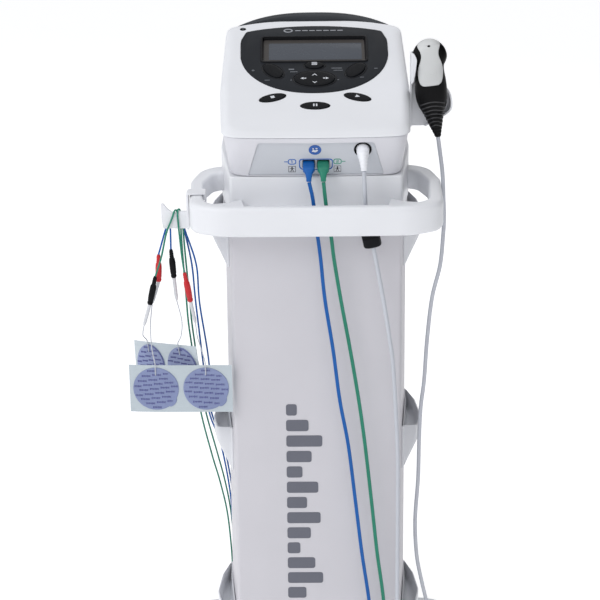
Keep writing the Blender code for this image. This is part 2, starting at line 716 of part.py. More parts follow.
def column():
    top, foot = COLUMN_TOP, BASE_TOP + GAP
    half = [(0.0, COLUMN_FRONT_Y - 0.003, 0.3), (0.085, COLUMN_FRONT_Y - 0.002, 0.3),
            (0.1285, COLUMN_FRONT_Y + 0.001, 0.006),
            (0.1295, COLUMN_FRONT_Y + 0.013, 0.001)]
    inner = [(0.1265, COLUMN_FRONT_Y + 0.013, 0.001), (0.1250, COLUMN_FRONT_Y + 0.0045, 0.004),
             (0.080, COLUMN_FRONT_Y + 0.001, 0.3),
             (0.0, COLUMN_FRONT_Y, 0.3)]
    ring = half + inner
    full = ring[1:-1]
    section = rounded([half[0]] + full + [inner[-1]] + [(-x, y, r) for x, y, r in reversed(full)], 3)
    bm = bmesh.new()
    loft(bm, [level(section, foot), level(section, top)])
    finish("column_front", bm, COLUMN_GREY, roughness=0.4)

    y0 = COLUMN_FRONT_Y + 0.013 + GAP
    outer = [(0.1300, y0, 0.001), (0.1420, 0.0000, 0.1), (0.1400, COLUMN_REAR_Y, 0.030),
             (0.0, COLUMN_REAR_Y + 0.006, 0.3)]
    inside = [(0.0, COLUMN_REAR_Y + 0.003, 0.3), (0.1370, COLUMN_REAR_Y - 0.003, 0.027), (0.1390, 0.0000,
                                                                                          0.1), (0.1270,
                                                                                                 y0, 0.001)]
    right = outer[:-1]
    left = [(-x, y, r) for x, y, r in reversed(right)]
    right_in = inside[1:]
    left_in = [(-x, y, r) for x, y, r in reversed(right_in)]
    section = rounded(right + [outer[-1]] + left + left_in + [inside[0]] + right_in, 4)
    bm = bmesh.new()
    loft(bm, [level(section, foot), level(section, top)])
    finish("column_rear", bm, COLUMN_GREY, roughness=0.4)


def hoop_bottom(y):
    """Height of the underside of the hoop at this depth."""
    t = max(0.0, min(1.0, (y + 0.200) / 0.110))
    return DECK_BOTTOM + HOOP_RISE * t * t * (3 - 2 * t)


def deck():
    """Neck under the head together with its all-round hoop handle."""
    bm = bmesh.new()

    def neck(front, grow):
        half = [(0.0, front - 0.002, 0.3), (0.1290 + grow, front, 0.008), (0.1300 + grow, front + 0.012,
                                                                           0.02),
                (0.1455 + grow, -0.010, 0.15), (0.1430 + grow, 0.108, 0.030), (0.0, 0.112, 0.3)]
        full = half + [(-x, y, r) for x, y, r in reversed(half) if x > 0]
        return rounded(full, 4)

    loft(bm, [level(neck(-0.1590, 0.0), DECK_BOTTOM), level(neck(-0.1650, 0.0), DECK_TOP - 0.002),
              level(neck(-0.1640, -0.0015), DECK_TOP)])
    body = finish("top_deck", bm, WHITE, roughness=0.35)

    outer = rounded(mirrored([(0.06, -0.2250, 0.5), (0.145, -0.2235, 0.10), (0.1890, -0.2020, 0.045),
                              (0.1900, -0.0900, 0.10),
                              (0.1720, -0.0200, 0.030), (0.10, -0.0020, 0.1)]), 5)
    inner = rounded(mirrored([(0.06, -0.2100, 0.5), (0.130, -0.2090, 0.10), (0.1670, -0.1870, 0.030),
                              (0.1710, -0.0950, 0.05),
                              (0.1560, -0.0520, 0.020), (0.10, -0.0300, 0.1)]), 5)
    profile = [(0.0, 0.10), (0.0, 0.88), (0.14, 1.0), (0.78, 1.0), (0.95, 0.955), (1.0, 0.86),
               (1.0, 0.10), (0.88, 0.0),
               (0.12, 0.0)]
    rows = []
    for t, h in profile:
        ring = [a + (b - a) * t for a, b in zip(inner, outer)]
        rows.append([Vector((p.x, p.y, hoop_bottom(p.y) * (1 - h) + RING_TOP * h)) for p in ring])
    hoop = bmesh.new()
    loft(hoop, rows, close=True)
    boolean(body, cutter("hoop", hoop), "UNION")
    webs = bmesh.new()
    for side in (-1, 1):
        plan = [(0.112, -0.160), (0.104, -0.2165), (0.150, -0.2165), (0.178, -0.1960), (0.178, -0.1870),
                (0.128, -0.1740)]
        low = [Vector((side * x, y, 0.9560)) for x, y in plan]
        high = [Vector((side * x, y, 0.9840)) for x, y in plan]
        loft(webs, [low, high])
    boolean(body, cutter("hoop_webs", webs), "UNION")


def side_bins():
    """Open-topped accessory pockets on both flanks of the column."""
    wall = 0.0022

    def plan(depth, shrink, side):
        y0, y1 = -0.1000 + shrink, 0.0560 - shrink
        spine = [(column_side(y0) + 0.0006 + shrink, y0, 0.001),
                 (column_side(y0) + 0.0006 + depth * 0.88 - shrink, y0 + 0.001, min(0.007, depth * 0.3)),
                 (column_side(-0.055) + 0.0006 + depth - shrink, -0.055, 0.04),
                 (column_side(0.0) + 0.0006 + depth * 0.62 - shrink, 0.004, 0.05),
                 (column_side(y1) + 0.0006 + shrink, y1, 0.002),
                 (column_side(0.0) + 0.0006 + shrink, 0.002, 0.02)]
        return [Vector((p.x * side, p.y)) for p in rounded(spine, 3)]

    for side, label in ((1, "right"), (-1, "left")):
        for rim, height in zip(BIN_RIMS, ("top", "middle", "bottom")):
            bottom = rim - BIN_HEIGHT
            bm = bmesh.new()
            outer = [(bottom, 0.0035), (bottom + 0.018, 0.0125), (bottom + 0.034, 0.0210),
                     (bottom + 0.045, 0.0262), (rim, BIN_DEPTH)]
            inner = [(rim - 0.022, BIN_DEPTH - 0.0010), (rim - 0.029, 0.0190)]
            sections = [level(plan(depth, 0.0, side), z) for z, depth in outer]
            sections.append(level(plan(BIN_DEPTH, wall, side), rim))
            sections += [level(plan(depth, wall, side), z) for z, depth in inner]
            loft(bm, sections)
            finish("bin_%s_%s" % (label, height), bm, WHITE, roughness=0.4)


def base():
    """Low tray-shaped foot with a raised lip and four corner caster pads."""
    def plan(half, radius):
        return rounded([(-half, -half, radius), (half, -half, radius), (half, half, radius), (-half, half,
                                                                                              radius)], 7)

    bm = bmesh.new()
    loft(bm, [level(plan(BASE_HALF - 0.012, 0.062), BASE_BOTTOM), level(plan(BASE_HALF - 0.003, 0.069),
                                                                        BASE_BOTTOM + 0.003),
              level(plan(BASE_HALF, 0.072), BASE_BOTTOM + 0.009), level(plan(BASE_HALF, 0.072),
                                                                        BASE_TOP + 0.002),
              level(plan(BASE_HALF - 0.003, 0.069), BASE_TOP + 0.005), level(plan(BASE_HALF - 0.008,
                                                                                  0.064), BASE_TOP + 0.005),
              level(plan(BASE_HALF - 0.012, 0.060), BASE_TOP)])
    finish("cart_base", bm, WHITE, roughness=0.4)


CASTERS = {
    "front_left": (-1, -1), "front_right": (1, -1), "rear_left": (-1, 1), "rear_right": (1, 1),
}


def casters():
    for label, (sx, sy) in CASTERS.items():
        pivot = Vector((sx * CASTER_X, sy * CASTER_Y, BASE_BOTTOM - GAP))
        axle = Vector((pivot.x, pivot.y + CASTER_TRAIL, WHEEL_RADIUS))
        bm = bmesh.new()
        lathe(bm, [(0.0, 0.0200), (0.0050, 0.0215), (0.0095, 0.0180)], pivot, (0, 0, -1), 16)
        fork = finish("caster_fork_" + label, bm, (0.25, 0.26, 0.28), origin=pivot, roughness=0.4,
                      metallic=0.6)
        arms = bmesh.new()
        for x in (-0.0150, 0.0150):
            path = [(pivot.y - 0.012, BASE_BOTTOM - 0.0050), (pivot.y + 0.016, BASE_BOTTOM - 0.0050),
                    (axle.y + 0.010, WHEEL_RADIUS + 0.004), (axle.y + 0.006, WHEEL_RADIUS - 0.008),
                    (axle.y - 0.006, WHEEL_RADIUS - 0.008), (axle.y - 0.012, WHEEL_RADIUS + 0.010)]
            loft(arms, [[Vector((pivot.x + x + t, y, z)) for y, z in path] for t in (-0.0015, 0.0015)])
        boolean(fork, cutter("fork_arms_" + label, arms), "UNION")
        pin = bmesh.new()
        lathe(pin, [(0.0, 0.0045), (0.0002, 0.0048), (0.0358, 0.0048), (0.0360, 0.0045)],
              axle - Vector((0.0180, 0, 0)), (1, 0, 0), 12)
        boolean(fork, cutter("axle_" + label, pin), "UNION")

        bm = bmesh.new()
        profile = [(0.0, 0.0053), (0.0, 0.0270), (0.0045, WHEEL_RADIUS), (0.0195, WHEEL_RADIUS),
                   (0.0240, 0.0270), (0.0240, 0.0053)]
        across = Vector((1, 0, 0))
        sections = []
        for along, radius in profile:
            centre = axle + across * (along - 0.0120)
            sections.append([centre + Vector((0, radius * math.cos(2 * math.pi * k / 24),
                                              radius * math.sin(2 * math.pi * k / 24)))
                             for k in range(24)])
        loft(bm, sections, close=True)
        finish("caster_wheel_" + label, bm, (0.10, 0.10, 0.11), origin=axle, roughness=0.6)

        if sy < 0:
            hinge = Vector((pivot.x, pivot.y - 0.0090, BASE_BOTTOM - 0.0170))
            bm = bmesh.new()
            outline = [(0.0040, 0.0030), (0.0040, -0.0030), (-0.0160, -0.0055), (-0.0215, -0.0040),
                       (-0.0215, -0.0015),
                       (-0.0160, -0.0020)]
            loft(bm, [[hinge + Vector((x, y, z)) for y, z in outline] for x in (-0.0100, 0.0100)])
            finish("brake_lever_" + label, bm, (0.45, 0.05, 0.05), origin=hinge, roughness=0.5)


HOOK_Y = -0.1520


def lead_hook():
    """Clip over the left of the hoop with an outboard cradle and a peg for the leads."""
    plate = [(-0.1920, 0.9372), (-0.1920, 0.9640), (-0.2050, 0.9640), (-0.2110, 0.9612), (-0.2170, 0.9630),
             (-0.2230, 0.9680), (-0.2290, 0.9760), (-0.2325, 0.9758), (-0.2325, 0.9500), (-0.2300, 0.9372)]
    bm = bmesh.new()
    loft(bm, [[Vector((x, y, z)) for x, z in plate] for y in (HOOK_Y - 0.0030, HOOK_Y + 0.0030)])
    hook = finish("lead_hook", bm, WHITE, roughness=0.35)
    strap = bmesh.new()
    outline = [(-0.1668, 0.9720), (-0.1644, 0.9720), (-0.1644, 0.9940), (-0.1654, 0.9950),
               (-0.1915, 0.9950),
               (-0.1942, 0.9920), (-0.1942, 0.9372), (-0.1906, 0.9372), (-0.1906, 0.9916), (-0.1668,
                                                                                            0.9916)]
    loft(strap, [[Vector((x, y, z)) for x, z in outline] for y in (HOOK_Y - 0.0090, HOOK_Y + 0.0120)])
    boolean(hook, cutter("hook_strap", strap), "UNION")
    rear = bmesh.new()
    peg = [(-0.2175, 0.9400), (-0.2065, 0.9400), (-0.2065, 0.9475), (-0.2090, 0.9500), (-0.2150, 0.9500),
           (-0.2175, 0.9475)]
    loft(rear, [[Vector((x, y, z)) for x, z in peg] for y in (HOOK_Y + 0.0010, HOOK_Y + 0.0280)])
    boolean(hook, cutter("hook_peg", rear), "UNION")


# ------------------------------------------------------------- cords, leads
TRAY = BASE_TOP + 0.0003

CABLE_ROUTE = [
    (0.0716, -0.1985, 1.0060), (0.0735, -0.1955, 0.9750), (0.0762, -0.1941, 0.9570), (0.085, -0.192, 0.915),
    (0.100, -0.188, 0.832), (0.110, -0.186, 0.766), (0.116, -0.185, 0.716), (0.123, -0.183, 0.586),
    (0.124, -0.183, 0.504), (0.124, -0.185, 0.403), (0.124, -0.186, 0.322), (0.125, -0.189, 0.220),
    (0.1310, -0.1960, 0.1350), (0.1520, -0.2060, TRAY + 0.0040), (0.1850, -0.2020, TRAY + 0.0032),
    (0.2050, -0.1750, TRAY + 0.0032), (0.2090, -0.1450, TRAY + 0.0150), (0.1980, -0.1260, 0.1550),
    (0.185, -0.119, 0.220), (0.174, -0.118, 0.283), (0.167, -0.118, 0.315), (0.158, -0.118, 0.365),
    (0.155, -0.117, 0.427), (0.159, -0.117, 0.501), (0.160, -0.116, 0.562), (0.162, -0.116, 0.622),
    (0.167, -0.115, 0.669), (0.171, -0.112, 0.735), (0.178, -0.110, 0.804), (0.190, -0.106, 0.856),
    (0.194, -0.103, 0.899), (0.1956, -0.0989, 0.9290), (0.1945, -0.0950, 0.9650), (0.1930, -0.0880, 1.0000),
    (0.1893, -0.0820, 1.0300),
]

BLUE_TRUNK = [
    (-0.0049, -0.1969, 0.9944), (-0.0020, -0.1948, 0.9624), (0.0021, -0.1930, 0.9319), (0.006, -0.191,
                                                                                        0.898),
    (0.012, -0.188, 0.833), (0.024, -0.186, 0.750), (0.034, -0.184, 0.666), (0.047, -0.183, 0.589),
    (0.059, -0.183, 0.484), (0.068, -0.185, 0.404), (0.079, -0.185, 0.323), (0.090, -0.184, 0.220),
    (0.0985, -0.1800, 0.1350), (0.1120, -0.1740, TRAY + 0.0040), (0.1400, -0.1690, TRAY + 0.0029),
    (0.1560, -0.1500, TRAY + 0.0029), (0.1585, -0.1000, TRAY + 0.0029), (0.1590, -0.0200, TRAY + 0.0029),
    (0.1580, 0.0600, TRAY + 0.0029), (0.1550, 0.0960, TRAY + 0.0029), (0.1440, 0.1180, TRAY + 0.0029),
    (0.1260, 0.1240, TRAY + 0.0029),
]
GREEN_TRUNK = [
    (0.0134, -0.1969, 0.9942), (0.0175, -0.1948, 0.9622), (0.0222, -0.1930, 0.9316), (0.026, -0.191, 0.898),
    (0.036, -0.188, 0.832), (0.050, -0.186, 0.750), (0.063, -0.184, 0.666), (0.073, -0.183, 0.588),
    (0.084, -0.183, 0.483), (0.092, -0.185, 0.404), (0.102, -0.186, 0.324), (0.110, -0.187, 0.220),
    (0.1170, -0.1870, 0.1350), (0.1300, -0.1860, TRAY + 0.0040), (0.1520, -0.1780, TRAY + 0.0029),
    (0.1665, -0.1540, TRAY + 0.0029), (0.1690, -0.1000, TRAY + 0.0029), (0.1695, -0.0200, TRAY + 0.0029),
    (0.1690, 0.0600, TRAY + 0.0029), (0.1660, 0.1020, TRAY + 0.0029), (0.1530, 0.1300, TRAY + 0.0029),
    (0.1310, 0.1385, TRAY + 0.0029),
]

WIRE_ROUTES = {
    "blue_wire_red": ("blue", -1, [
        (0.1000, 0.1210, TRAY + 0.0015), (0.0000, 0.1200, TRAY + 0.0015), (-0.0950, 0.1215, TRAY + 0.0015),
        (-0.1280, 0.1280, TRAY + 0.0060), (-0.1410, 0.1310, 0.1600), (-0.144, 0.124, 0.250),
        (-0.146, 0.100, 0.364), (-0.159, 0.056, 0.484), (-0.175, -0.002, 0.570), (-0.179, -0.079, 0.687),
        (-0.186, -0.118, 0.803), (-0.190, -0.128, 0.870), (-0.1995, -0.1310, 0.9250), (-0.2030, -0.1310,
                                                                                       0.9440),
        (-0.2058, -0.1310, 0.9508), (-0.2120, -0.1310, 0.9524), (-0.2178, -0.1310, 0.9510), (-0.2225,
                                                                                             -0.1320, 0.9440),
        (-0.2290, -0.1370, 0.9260), (-0.239, -0.146, 0.893)]),
    "blue_wire_black": ("blue", 1, [
        (0.1000, 0.1270, TRAY + 0.0015), (0.0000, 0.1255, TRAY + 0.0015), (-0.0950, 0.1265, TRAY + 0.0015),
        (-0.1240, 0.1340, TRAY + 0.0060), (-0.1370, 0.1370, 0.1600), (-0.139, 0.127, 0.250),
        (-0.142, 0.104, 0.364), (-0.155, 0.060, 0.484), (-0.172, 0.004, 0.570), (-0.170, -0.076, 0.687),
        (-0.180, -0.120, 0.803), (-0.183, -0.131, 0.870), (-0.1975, -0.1370, 0.9250), (-0.2025, -0.1370,
                                                                                       0.9440),
        (-0.2055, -0.1370, 0.9508), (-0.2120, -0.1370, 0.9524), (-0.2172, -0.1370, 0.9512), (-0.2202,
                                                                                             -0.1380, 0.9460),
        (-0.2200, -0.1450, 0.9250), (-0.220, -0.148, 0.902)]),
    "green_wire_black": ("green", -1, [
        (0.1040, 0.1355, TRAY + 0.0015), (0.0000, 0.1350, TRAY + 0.0015), (-0.0980, 0.1360, TRAY + 0.0015),
        (-0.1330, 0.1420, TRAY + 0.0060), (-0.1450, 0.1450, 0.1600), (-0.148, 0.133, 0.250),
        (-0.153, 0.110, 0.332), (-0.163, 0.086, 0.401), (-0.175, 0.058, 0.467), (-0.188, -0.005, 0.570),
        (-0.191, -0.066, 0.661), (-0.198, -0.111, 0.762), (-0.200, -0.126, 0.814), (-0.203, -0.139, 0.890),
        (-0.2043, -0.1440, 0.9360), (-0.2052, -0.1452, 0.9500), (-0.2085, -0.1460, 0.9590), (-0.2100,
                                                                                             -0.1474, 0.9640),
        (-0.2115, -0.1520, 0.9655), (-0.2130, -0.1564, 0.9645), (-0.2148, -0.1580, 0.9590), (-0.2190,
                                                                                             -0.1586, 0.9480),
        (-0.2259, -0.1590, 0.9300), (-0.234, -0.160, 0.894),
        (-0.244, -0.160, 0.863)]),
    "green_wire_red": ("green", 1, [
        (0.1040, 0.1415, TRAY + 0.0015), (0.0000, 0.1405, TRAY + 0.0015), (-0.0980, 0.1410, TRAY + 0.0015),
        (-0.1290, 0.1470, TRAY + 0.0060), (-0.1400, 0.1490, 0.1600), (-0.143, 0.137, 0.250),
        (-0.147, 0.114, 0.332), (-0.155, 0.090, 0.401), (-0.166, 0.063, 0.467), (-0.181, 0.003, 0.570),
        (-0.186, -0.062, 0.661), (-0.193, -0.108, 0.762), (-0.195, -0.124, 0.814), (-0.199, -0.139, 0.890),
        (-0.2010, -0.1445, 0.9360), (-0.2016, -0.1458, 0.9500), (-0.2040, -0.1466, 0.9600), (-0.2052,
                                                                                             -0.1478, 0.9655),
        (-0.2070, -0.1520, 0.9668), (-0.2078, -0.1562, 0.9652), (-0.2080, -0.1576, 0.9590), (-0.2072,
                                                                                             -0.1580, 0.9480),
        (-0.2060, -0.1590, 0.9300), (-0.203, -0.160, 0.894),
        (-0.200, -0.160, 0.869)]),
}

CONNECTORS = {
    "blue_wire_red": ("pin_connector_blue_red", RED, (-0.2401, -0.1475, 0.8501), (-0.2509, -0.1500,
                                                                                  0.8153)),
    "blue_wire_black": ("pin_connector_blue_black", KEY_BLACK, (-0.2166, -0.1500, 0.8570),
                        (-0.2133, -0.1520, 0.8206)),
    "green_wire_black": ("pin_connector_green_black", KEY_BLACK, (-0.2539, -0.1605, 0.8178),
                         (-0.2636, -0.1600, 0.7835)),
    "green_wire_red": ("pin_connector_green_red", RED, (-0.1919, -0.1600, 0.8215), (-0.1853, -0.1600,
                                                                                    0.7860)),
}


def ferrite():
    """Clip-on ferrite block with the applicator cable running through it."""
    start, end = Vector(CABLE_ROUTE[2]), Vector(CABLE_ROUTE[3])
    run = (end - start).normalized()
    across = (Vector((1, 0, 0)) - run * run.x).normalized()
    over = run.cross(across)
    rings = []
    for along, a, b, power in ((0.0040, 0.0040, 0.0040, 2.0), (0.0040, 0.0118, 0.0085, 3.6),
                               (0.0058, 0.0136, 0.0102, 3.6),
                               (0.0352, 0.0136, 0.0102, 3.6), (0.0382, 0.0112, 0.0084, 3.2), (0.0382,
                                                                                              0.0040, 0.0040, 2.0)):
        rings.append([start + run * along + across * x + over * y for x, y in ellipse(20, a, b, 0.0,
                                                                                      power)])
    bm = bmesh.new()
    loft(bm, rings, close=True)
    finish("ferrite_core", bm, KEY_BLACK, origin=start + run * 0.02, roughness=0.5)


def pin_connector(name, colour, top, middle, bottom):
    """Moulded lead connector with the electrode's white pin sleeve plugged into it."""
    top, middle, bottom = Vector(top), Vector(middle), Vector(bottom)
    path = [top.lerp(middle, t) for t in (0.0, 0.10, 0.24, 0.32, 0.45, 0.80, 0.97, 1.0)]
    path += [middle.lerp(bottom, t) for t in (0.03, 0.35, 0.90, 1.0)]
    radii = [0.0024, 0.0032, 0.0034, 0.0044, 0.0049, 0.0046, 0.0040, 0.0034, 0.0027, 0.0027, 0.0022, 0.0014]
    bm = bmesh.new()
    sweep(bm, path, [(r, r) for r in radii], side=(1, 0, 0), count=12)
    finish(name, bm, colour, origin=top, roughness=0.35)


def leads():
    cable = [PLUG_EXIT + (Vector(CABLE_ROUTE[0]) - PLUG_EXIT).normalized() * CORD_GAP] + CABLE_ROUTE + [TAIL]
    cord("applicator_cable", cable, CABLE_DIAMETER, (0.78, 0.79, 0.82), 0.040)
    ferrite()
    ends = {}
    for name, start, route, colour in (("blue", BLUE_EXIT, BLUE_TRUNK, BLUE), ("green", GREEN_EXIT,
                                                                               GREEN_TRUNK, GREEN)):
        gap = (Vector(route[0]) - start).normalized() * CORD_GAP
        cord(name + "_lead", [start + gap] + route, TRUNK_DIAMETER, colour, 0.032)
        last, before = Vector(route[-1]), Vector(route[-2])
        ends[name] = (last, (last - before).normalized())
    for name, (trunk, side, route) in WIRE_ROUTES.items():
        last, run = ends[trunk]
        across = Vector((-run.y, run.x, 0)) * -side
        start = last + run * CORD_GAP * 1.8 + across * 0.0019 - Vector((0, 0, 0.0013))
        cord(name, [start] + route, WIRE_DIAMETER, BLUE if trunk == "blue" else GREEN, 0.032)
        label, colour, middle, bottom = CONNECTORS[name]
        end, before = Vector(route[-1]), Vector(route[-2])
        pin_connector(label, colour, end + (end - before).normalized() * GAP, middle, bottom)


# ----------------------------------------------------------- electrode sheets
SHEET_WIDTH, SHEET_HEIGHT, SHEET_THICK = 0.158, 0.078, 0.0008
PAD_RADIUS, PAD_THICK = 0.0350, 0.0014
PAD_X = 0.0385


def electrode_sheet(name, corner, right, down, pigtails):
    """Liner card with two round gel electrodes and their own thin wires."""
    corner, right, down = Vector(corner), Vector(right).normalized(), Vector(down).normalized()
    out = down.cross(right).normalized()

    def on_card(x, y, n):
        return corner + right * x + down * y + out * n

    bm = bmesh.new()
    card = rounded([(0.0, 0.0, 0.002), (SHEET_WIDTH, 0.0, 0.002), (SHEET_WIDTH, SHEET_HEIGHT, 0.002),
                    (0.0, SHEET_HEIGHT, 0.002)], 2)
    loft(bm, [[on_card(p.x, p.y, n) for p in card] for n in (-SHEET_THICK, 0.0)])
    sheet = finish(name, bm, LINER, origin=on_card(SHEET_WIDTH / 2, 0, 0), roughness=0.45)
    pads = bmesh.new()
    for x in (SHEET_WIDTH / 2 - PAD_X, SHEET_WIDTH / 2 + PAD_X):
        ring = [(x + px, SHEET_HEIGHT / 2 + py) for px, py in ellipse(28, PAD_RADIUS, PAD_RADIUS)]
        loft(pads, [[on_card(px, py, n) for px, py in ring] for n in (-0.0004, PAD_THICK)])
    boolean(sheet, cutter(name + "_pads", pads), "UNION")
    wires = bmesh.new()
    for pad_side, route in pigtails:
        x = SHEET_WIDTH / 2 + pad_side * PAD_X
        landing = [on_card(x, -0.0040, 0.0040), on_card(x, 0.0060, 0.0024), on_card(x, 0.0160, 0.0008)]
        points = cord_points(route + landing, 0.012)
        sweep(wires, points, [(0.0008, 0.0008)] * len(points), side=(0, 0.3, 1), count=5)
    boolean(sheet, cutter(name + "_wires", wires), "UNION")


def sheets():
    electrode_sheet("electrode_sheet_front", (-0.2888, -0.1680, 0.7210), (1, 0, 0), (0.003, 0, -1), [
        (-1, [(-0.2510, -0.1500, 0.8148), (-0.2545, -0.1540, 0.7801), (-0.2530, -0.1640, 0.7480)]),
        (1, [(-0.1852, -0.1600, 0.7855), (-0.1826, -0.1640, 0.7645), (-0.1750, -0.1700, 0.7400)])])
    electrode_sheet("electrode_sheet_rear", (-0.2895, -0.0500, 0.7145), (0.1049, -0.1090, 0.0340),
                    (0.03, 0.015, -1), [
        (-1, [(-0.2637, -0.1600, 0.7830), (-0.2670, -0.1450, 0.7660), (-0.2690, -0.1150, 0.7480)]),
        (1, [(-0.2132, -0.1520, 0.8201), (-0.2060, -0.1600, 0.7900), (-0.2080, -0.1580, 0.7650)])])


clear_scene()
control_face()
circuit_board()
lower_shell()
connector_panel()
mains_inlet()
power_switch()
power_supply()
carry_handle()
applicator_holder()
TAIL = applicator()
BLUE_EXIT = lead_plug("blue", BLUE)
GREEN_EXIT = lead_plug("green", GREEN)
PLUG_EXIT = applicator_plug()
column()
deck()
side_bins()
base()
casters()
lead_hook()
leads()
sheets()
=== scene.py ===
"""Looks of a combined ultrasound and electrotherapy unit on its cart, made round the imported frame."""

import math

import bmesh
import bpy
from mathutils import Matrix, Vector


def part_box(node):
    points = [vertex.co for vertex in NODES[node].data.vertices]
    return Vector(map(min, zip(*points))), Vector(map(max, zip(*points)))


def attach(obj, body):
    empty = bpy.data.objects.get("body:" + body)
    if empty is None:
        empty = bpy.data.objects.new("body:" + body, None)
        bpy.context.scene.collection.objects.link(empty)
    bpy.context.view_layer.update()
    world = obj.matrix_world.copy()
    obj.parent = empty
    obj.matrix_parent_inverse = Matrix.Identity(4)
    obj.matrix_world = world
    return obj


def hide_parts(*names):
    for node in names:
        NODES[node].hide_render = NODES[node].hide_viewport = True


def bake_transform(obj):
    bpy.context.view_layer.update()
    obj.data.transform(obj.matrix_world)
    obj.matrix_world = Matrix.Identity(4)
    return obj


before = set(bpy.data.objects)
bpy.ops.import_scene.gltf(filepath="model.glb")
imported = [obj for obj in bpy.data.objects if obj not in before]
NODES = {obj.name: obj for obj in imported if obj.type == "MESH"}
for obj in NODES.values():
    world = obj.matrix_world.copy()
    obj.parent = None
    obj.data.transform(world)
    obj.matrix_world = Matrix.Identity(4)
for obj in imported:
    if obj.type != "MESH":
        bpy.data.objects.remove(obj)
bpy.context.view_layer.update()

# ---------------------------------------------------------------- dimensions
WALL = 0.003
GAP = 0.0004
FLOOR_GLOW = 0.43
SKY_DIM, SKY_BRIGHT = 0.0, 1.1
SKY_TOWARDS = Vector((-0.72, -0.46, 0.52)).normalized()
SKY_FADES_AT = -0.52
HEAD_BOTTOM = 1.0213
SEAM_Z = 1.087
FACE_TILT = math.radians(17.06)
FACE_ORIGIN = Vector((0.0, -0.02, 1.142))
PANEL_ORIGIN = Vector((0.0, -0.1765, 1.054))
PANEL_LEAN = math.radians(17.65)
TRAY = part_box("cart_base")[0].z + 0.0143
CABLE_DIAMETER = 0.0062
TRUNK_DIAMETER = 0.0056
WIRE_DIAMETER = 0.0028
PIGTAIL_DIAMETER = 0.0016
CORD_GAP = 0.0012
PRINT_ROOT = 0.0002
ROUGHNESS_VARY = 0.06
RELIEF_DEPTH = 0.0002
PRINT_HEIGHT = 0.00025


# -------------------------------------------------------------------- camera
def make_camera():
    """Long lens above the front of the cart, looking down at the head."""
    pitch, roll = math.radians(21.0), math.radians(0.56)
    side, rise = Vector((1, 0, 0)), Vector((0, math.sin(pitch), math.cos(pitch)))
    right = side * math.cos(roll) - rise * math.sin(roll)
    up = side * math.sin(roll) + rise * math.cos(roll)
    data = bpy.data.cameras.new("camera")
    data.lens, data.sensor_width = 138.0, 36.0
    data.clip_end = 60.0
    camera = bpy.data.objects.new("camera", data)
    bpy.context.scene.collection.objects.link(camera)
    camera.matrix_world = Matrix.Translation((-0.025564, -3.422442, 2.074521)) @ \
        Matrix((right, up, right.cross(up))).transposed().to_4x4()
    bpy.context.scene.camera = camera


make_camera()


# ----------------------------------------------------------------- materials
def material(
    name, colour, roughness=0.4, metallic=0.0, mottle=0.03, grain=900.0, bump=0.1, coat=0.0, specular=0.5,
    cloud=14.0, wear=None):
    """Procedural moulded or painted finish: slight colour clouding, roughness variation and fine grain."""
    mat = bpy.data.materials.new(name)
    mat.use_nodes = True
    nodes, links = mat.node_tree.nodes, mat.node_tree.links
    shader = nodes["Principled BSDF"]
    shader.inputs["Metallic"].default_value = metallic
    shader.inputs["Coat Weight"].default_value = coat
    shader.inputs["Coat Roughness"].default_value = 0.15
    shader.inputs["Specular IOR Level"].default_value = specular
    place = nodes.new("ShaderNodeTexCoord")

    def noise(scale, detail):
        tex = nodes.new("ShaderNodeTexNoise")
        tex.inputs["Scale"].default_value = scale
        tex.inputs["Detail"].default_value = detail
        links.new(place.outputs["Object"], tex.inputs["Vector"])
        return tex

    clouds = noise(cloud, 3.0)
    ramp = nodes.new("ShaderNodeValToRGB")
    low = [c * (1.0 - mottle) for c in colour]
    high = [min(1.0, c * (1.0 + mottle)) for c in colour]
    ramp.color_ramp.elements[0].position, ramp.color_ramp.elements[1].position = 0.3, 0.7
    ramp.color_ramp.elements[0].color = (*low, 1.0)
    ramp.color_ramp.elements[1].color = (*high, 1.0)
    links.new(clouds.outputs["Fac"], ramp.inputs["Fac"])
    tint = ramp.outputs["Color"]
    if wear:
        strength, worn = wear
        geometry = nodes.new("ShaderNodeNewGeometry")
        edge = nodes.new("ShaderNodeMapRange")
        edge.inputs["From Min"].default_value, edge.inputs["From Max"].default_value = 0.52, 0.6
        edge.inputs["To Max"].default_value = strength
        links.new(geometry.outputs["Pointiness"], edge.inputs["Value"])
        mix = nodes.new("ShaderNodeMix")
        mix.data_type = "RGBA"
        links.new(edge.outputs["Result"], mix.inputs["Factor"])
        links.new(tint, mix.inputs["A"])
        mix.inputs["B"].default_value = (*worn, 1.0)
        tint = mix.outputs["Result"]
    links.new(tint, shader.inputs["Base Color"])
    patches = noise(60.0, 4.0)
    spread = nodes.new("ShaderNodeMapRange")
    spread.inputs["To Min"].default_value = max(0.02, roughness - ROUGHNESS_VARY)
    spread.inputs["To Max"].default_value = min(1.0, roughness + ROUGHNESS_VARY)
    links.new(patches.outputs["Fac"], spread.inputs["Value"])
    links.new(spread.outputs["Result"], shader.inputs["Roughness"])
    fine = noise(grain, 2.0)
    relief = nodes.new("ShaderNodeBump")
    relief.inputs["Strength"].default_value = bump
    relief.inputs["Distance"].default_value = RELIEF_DEPTH
    links.new(fine.outputs["Fac"], relief.inputs["Height"])
    links.new(relief.outputs["Normal"], shader.inputs["Normal"])
    return mat


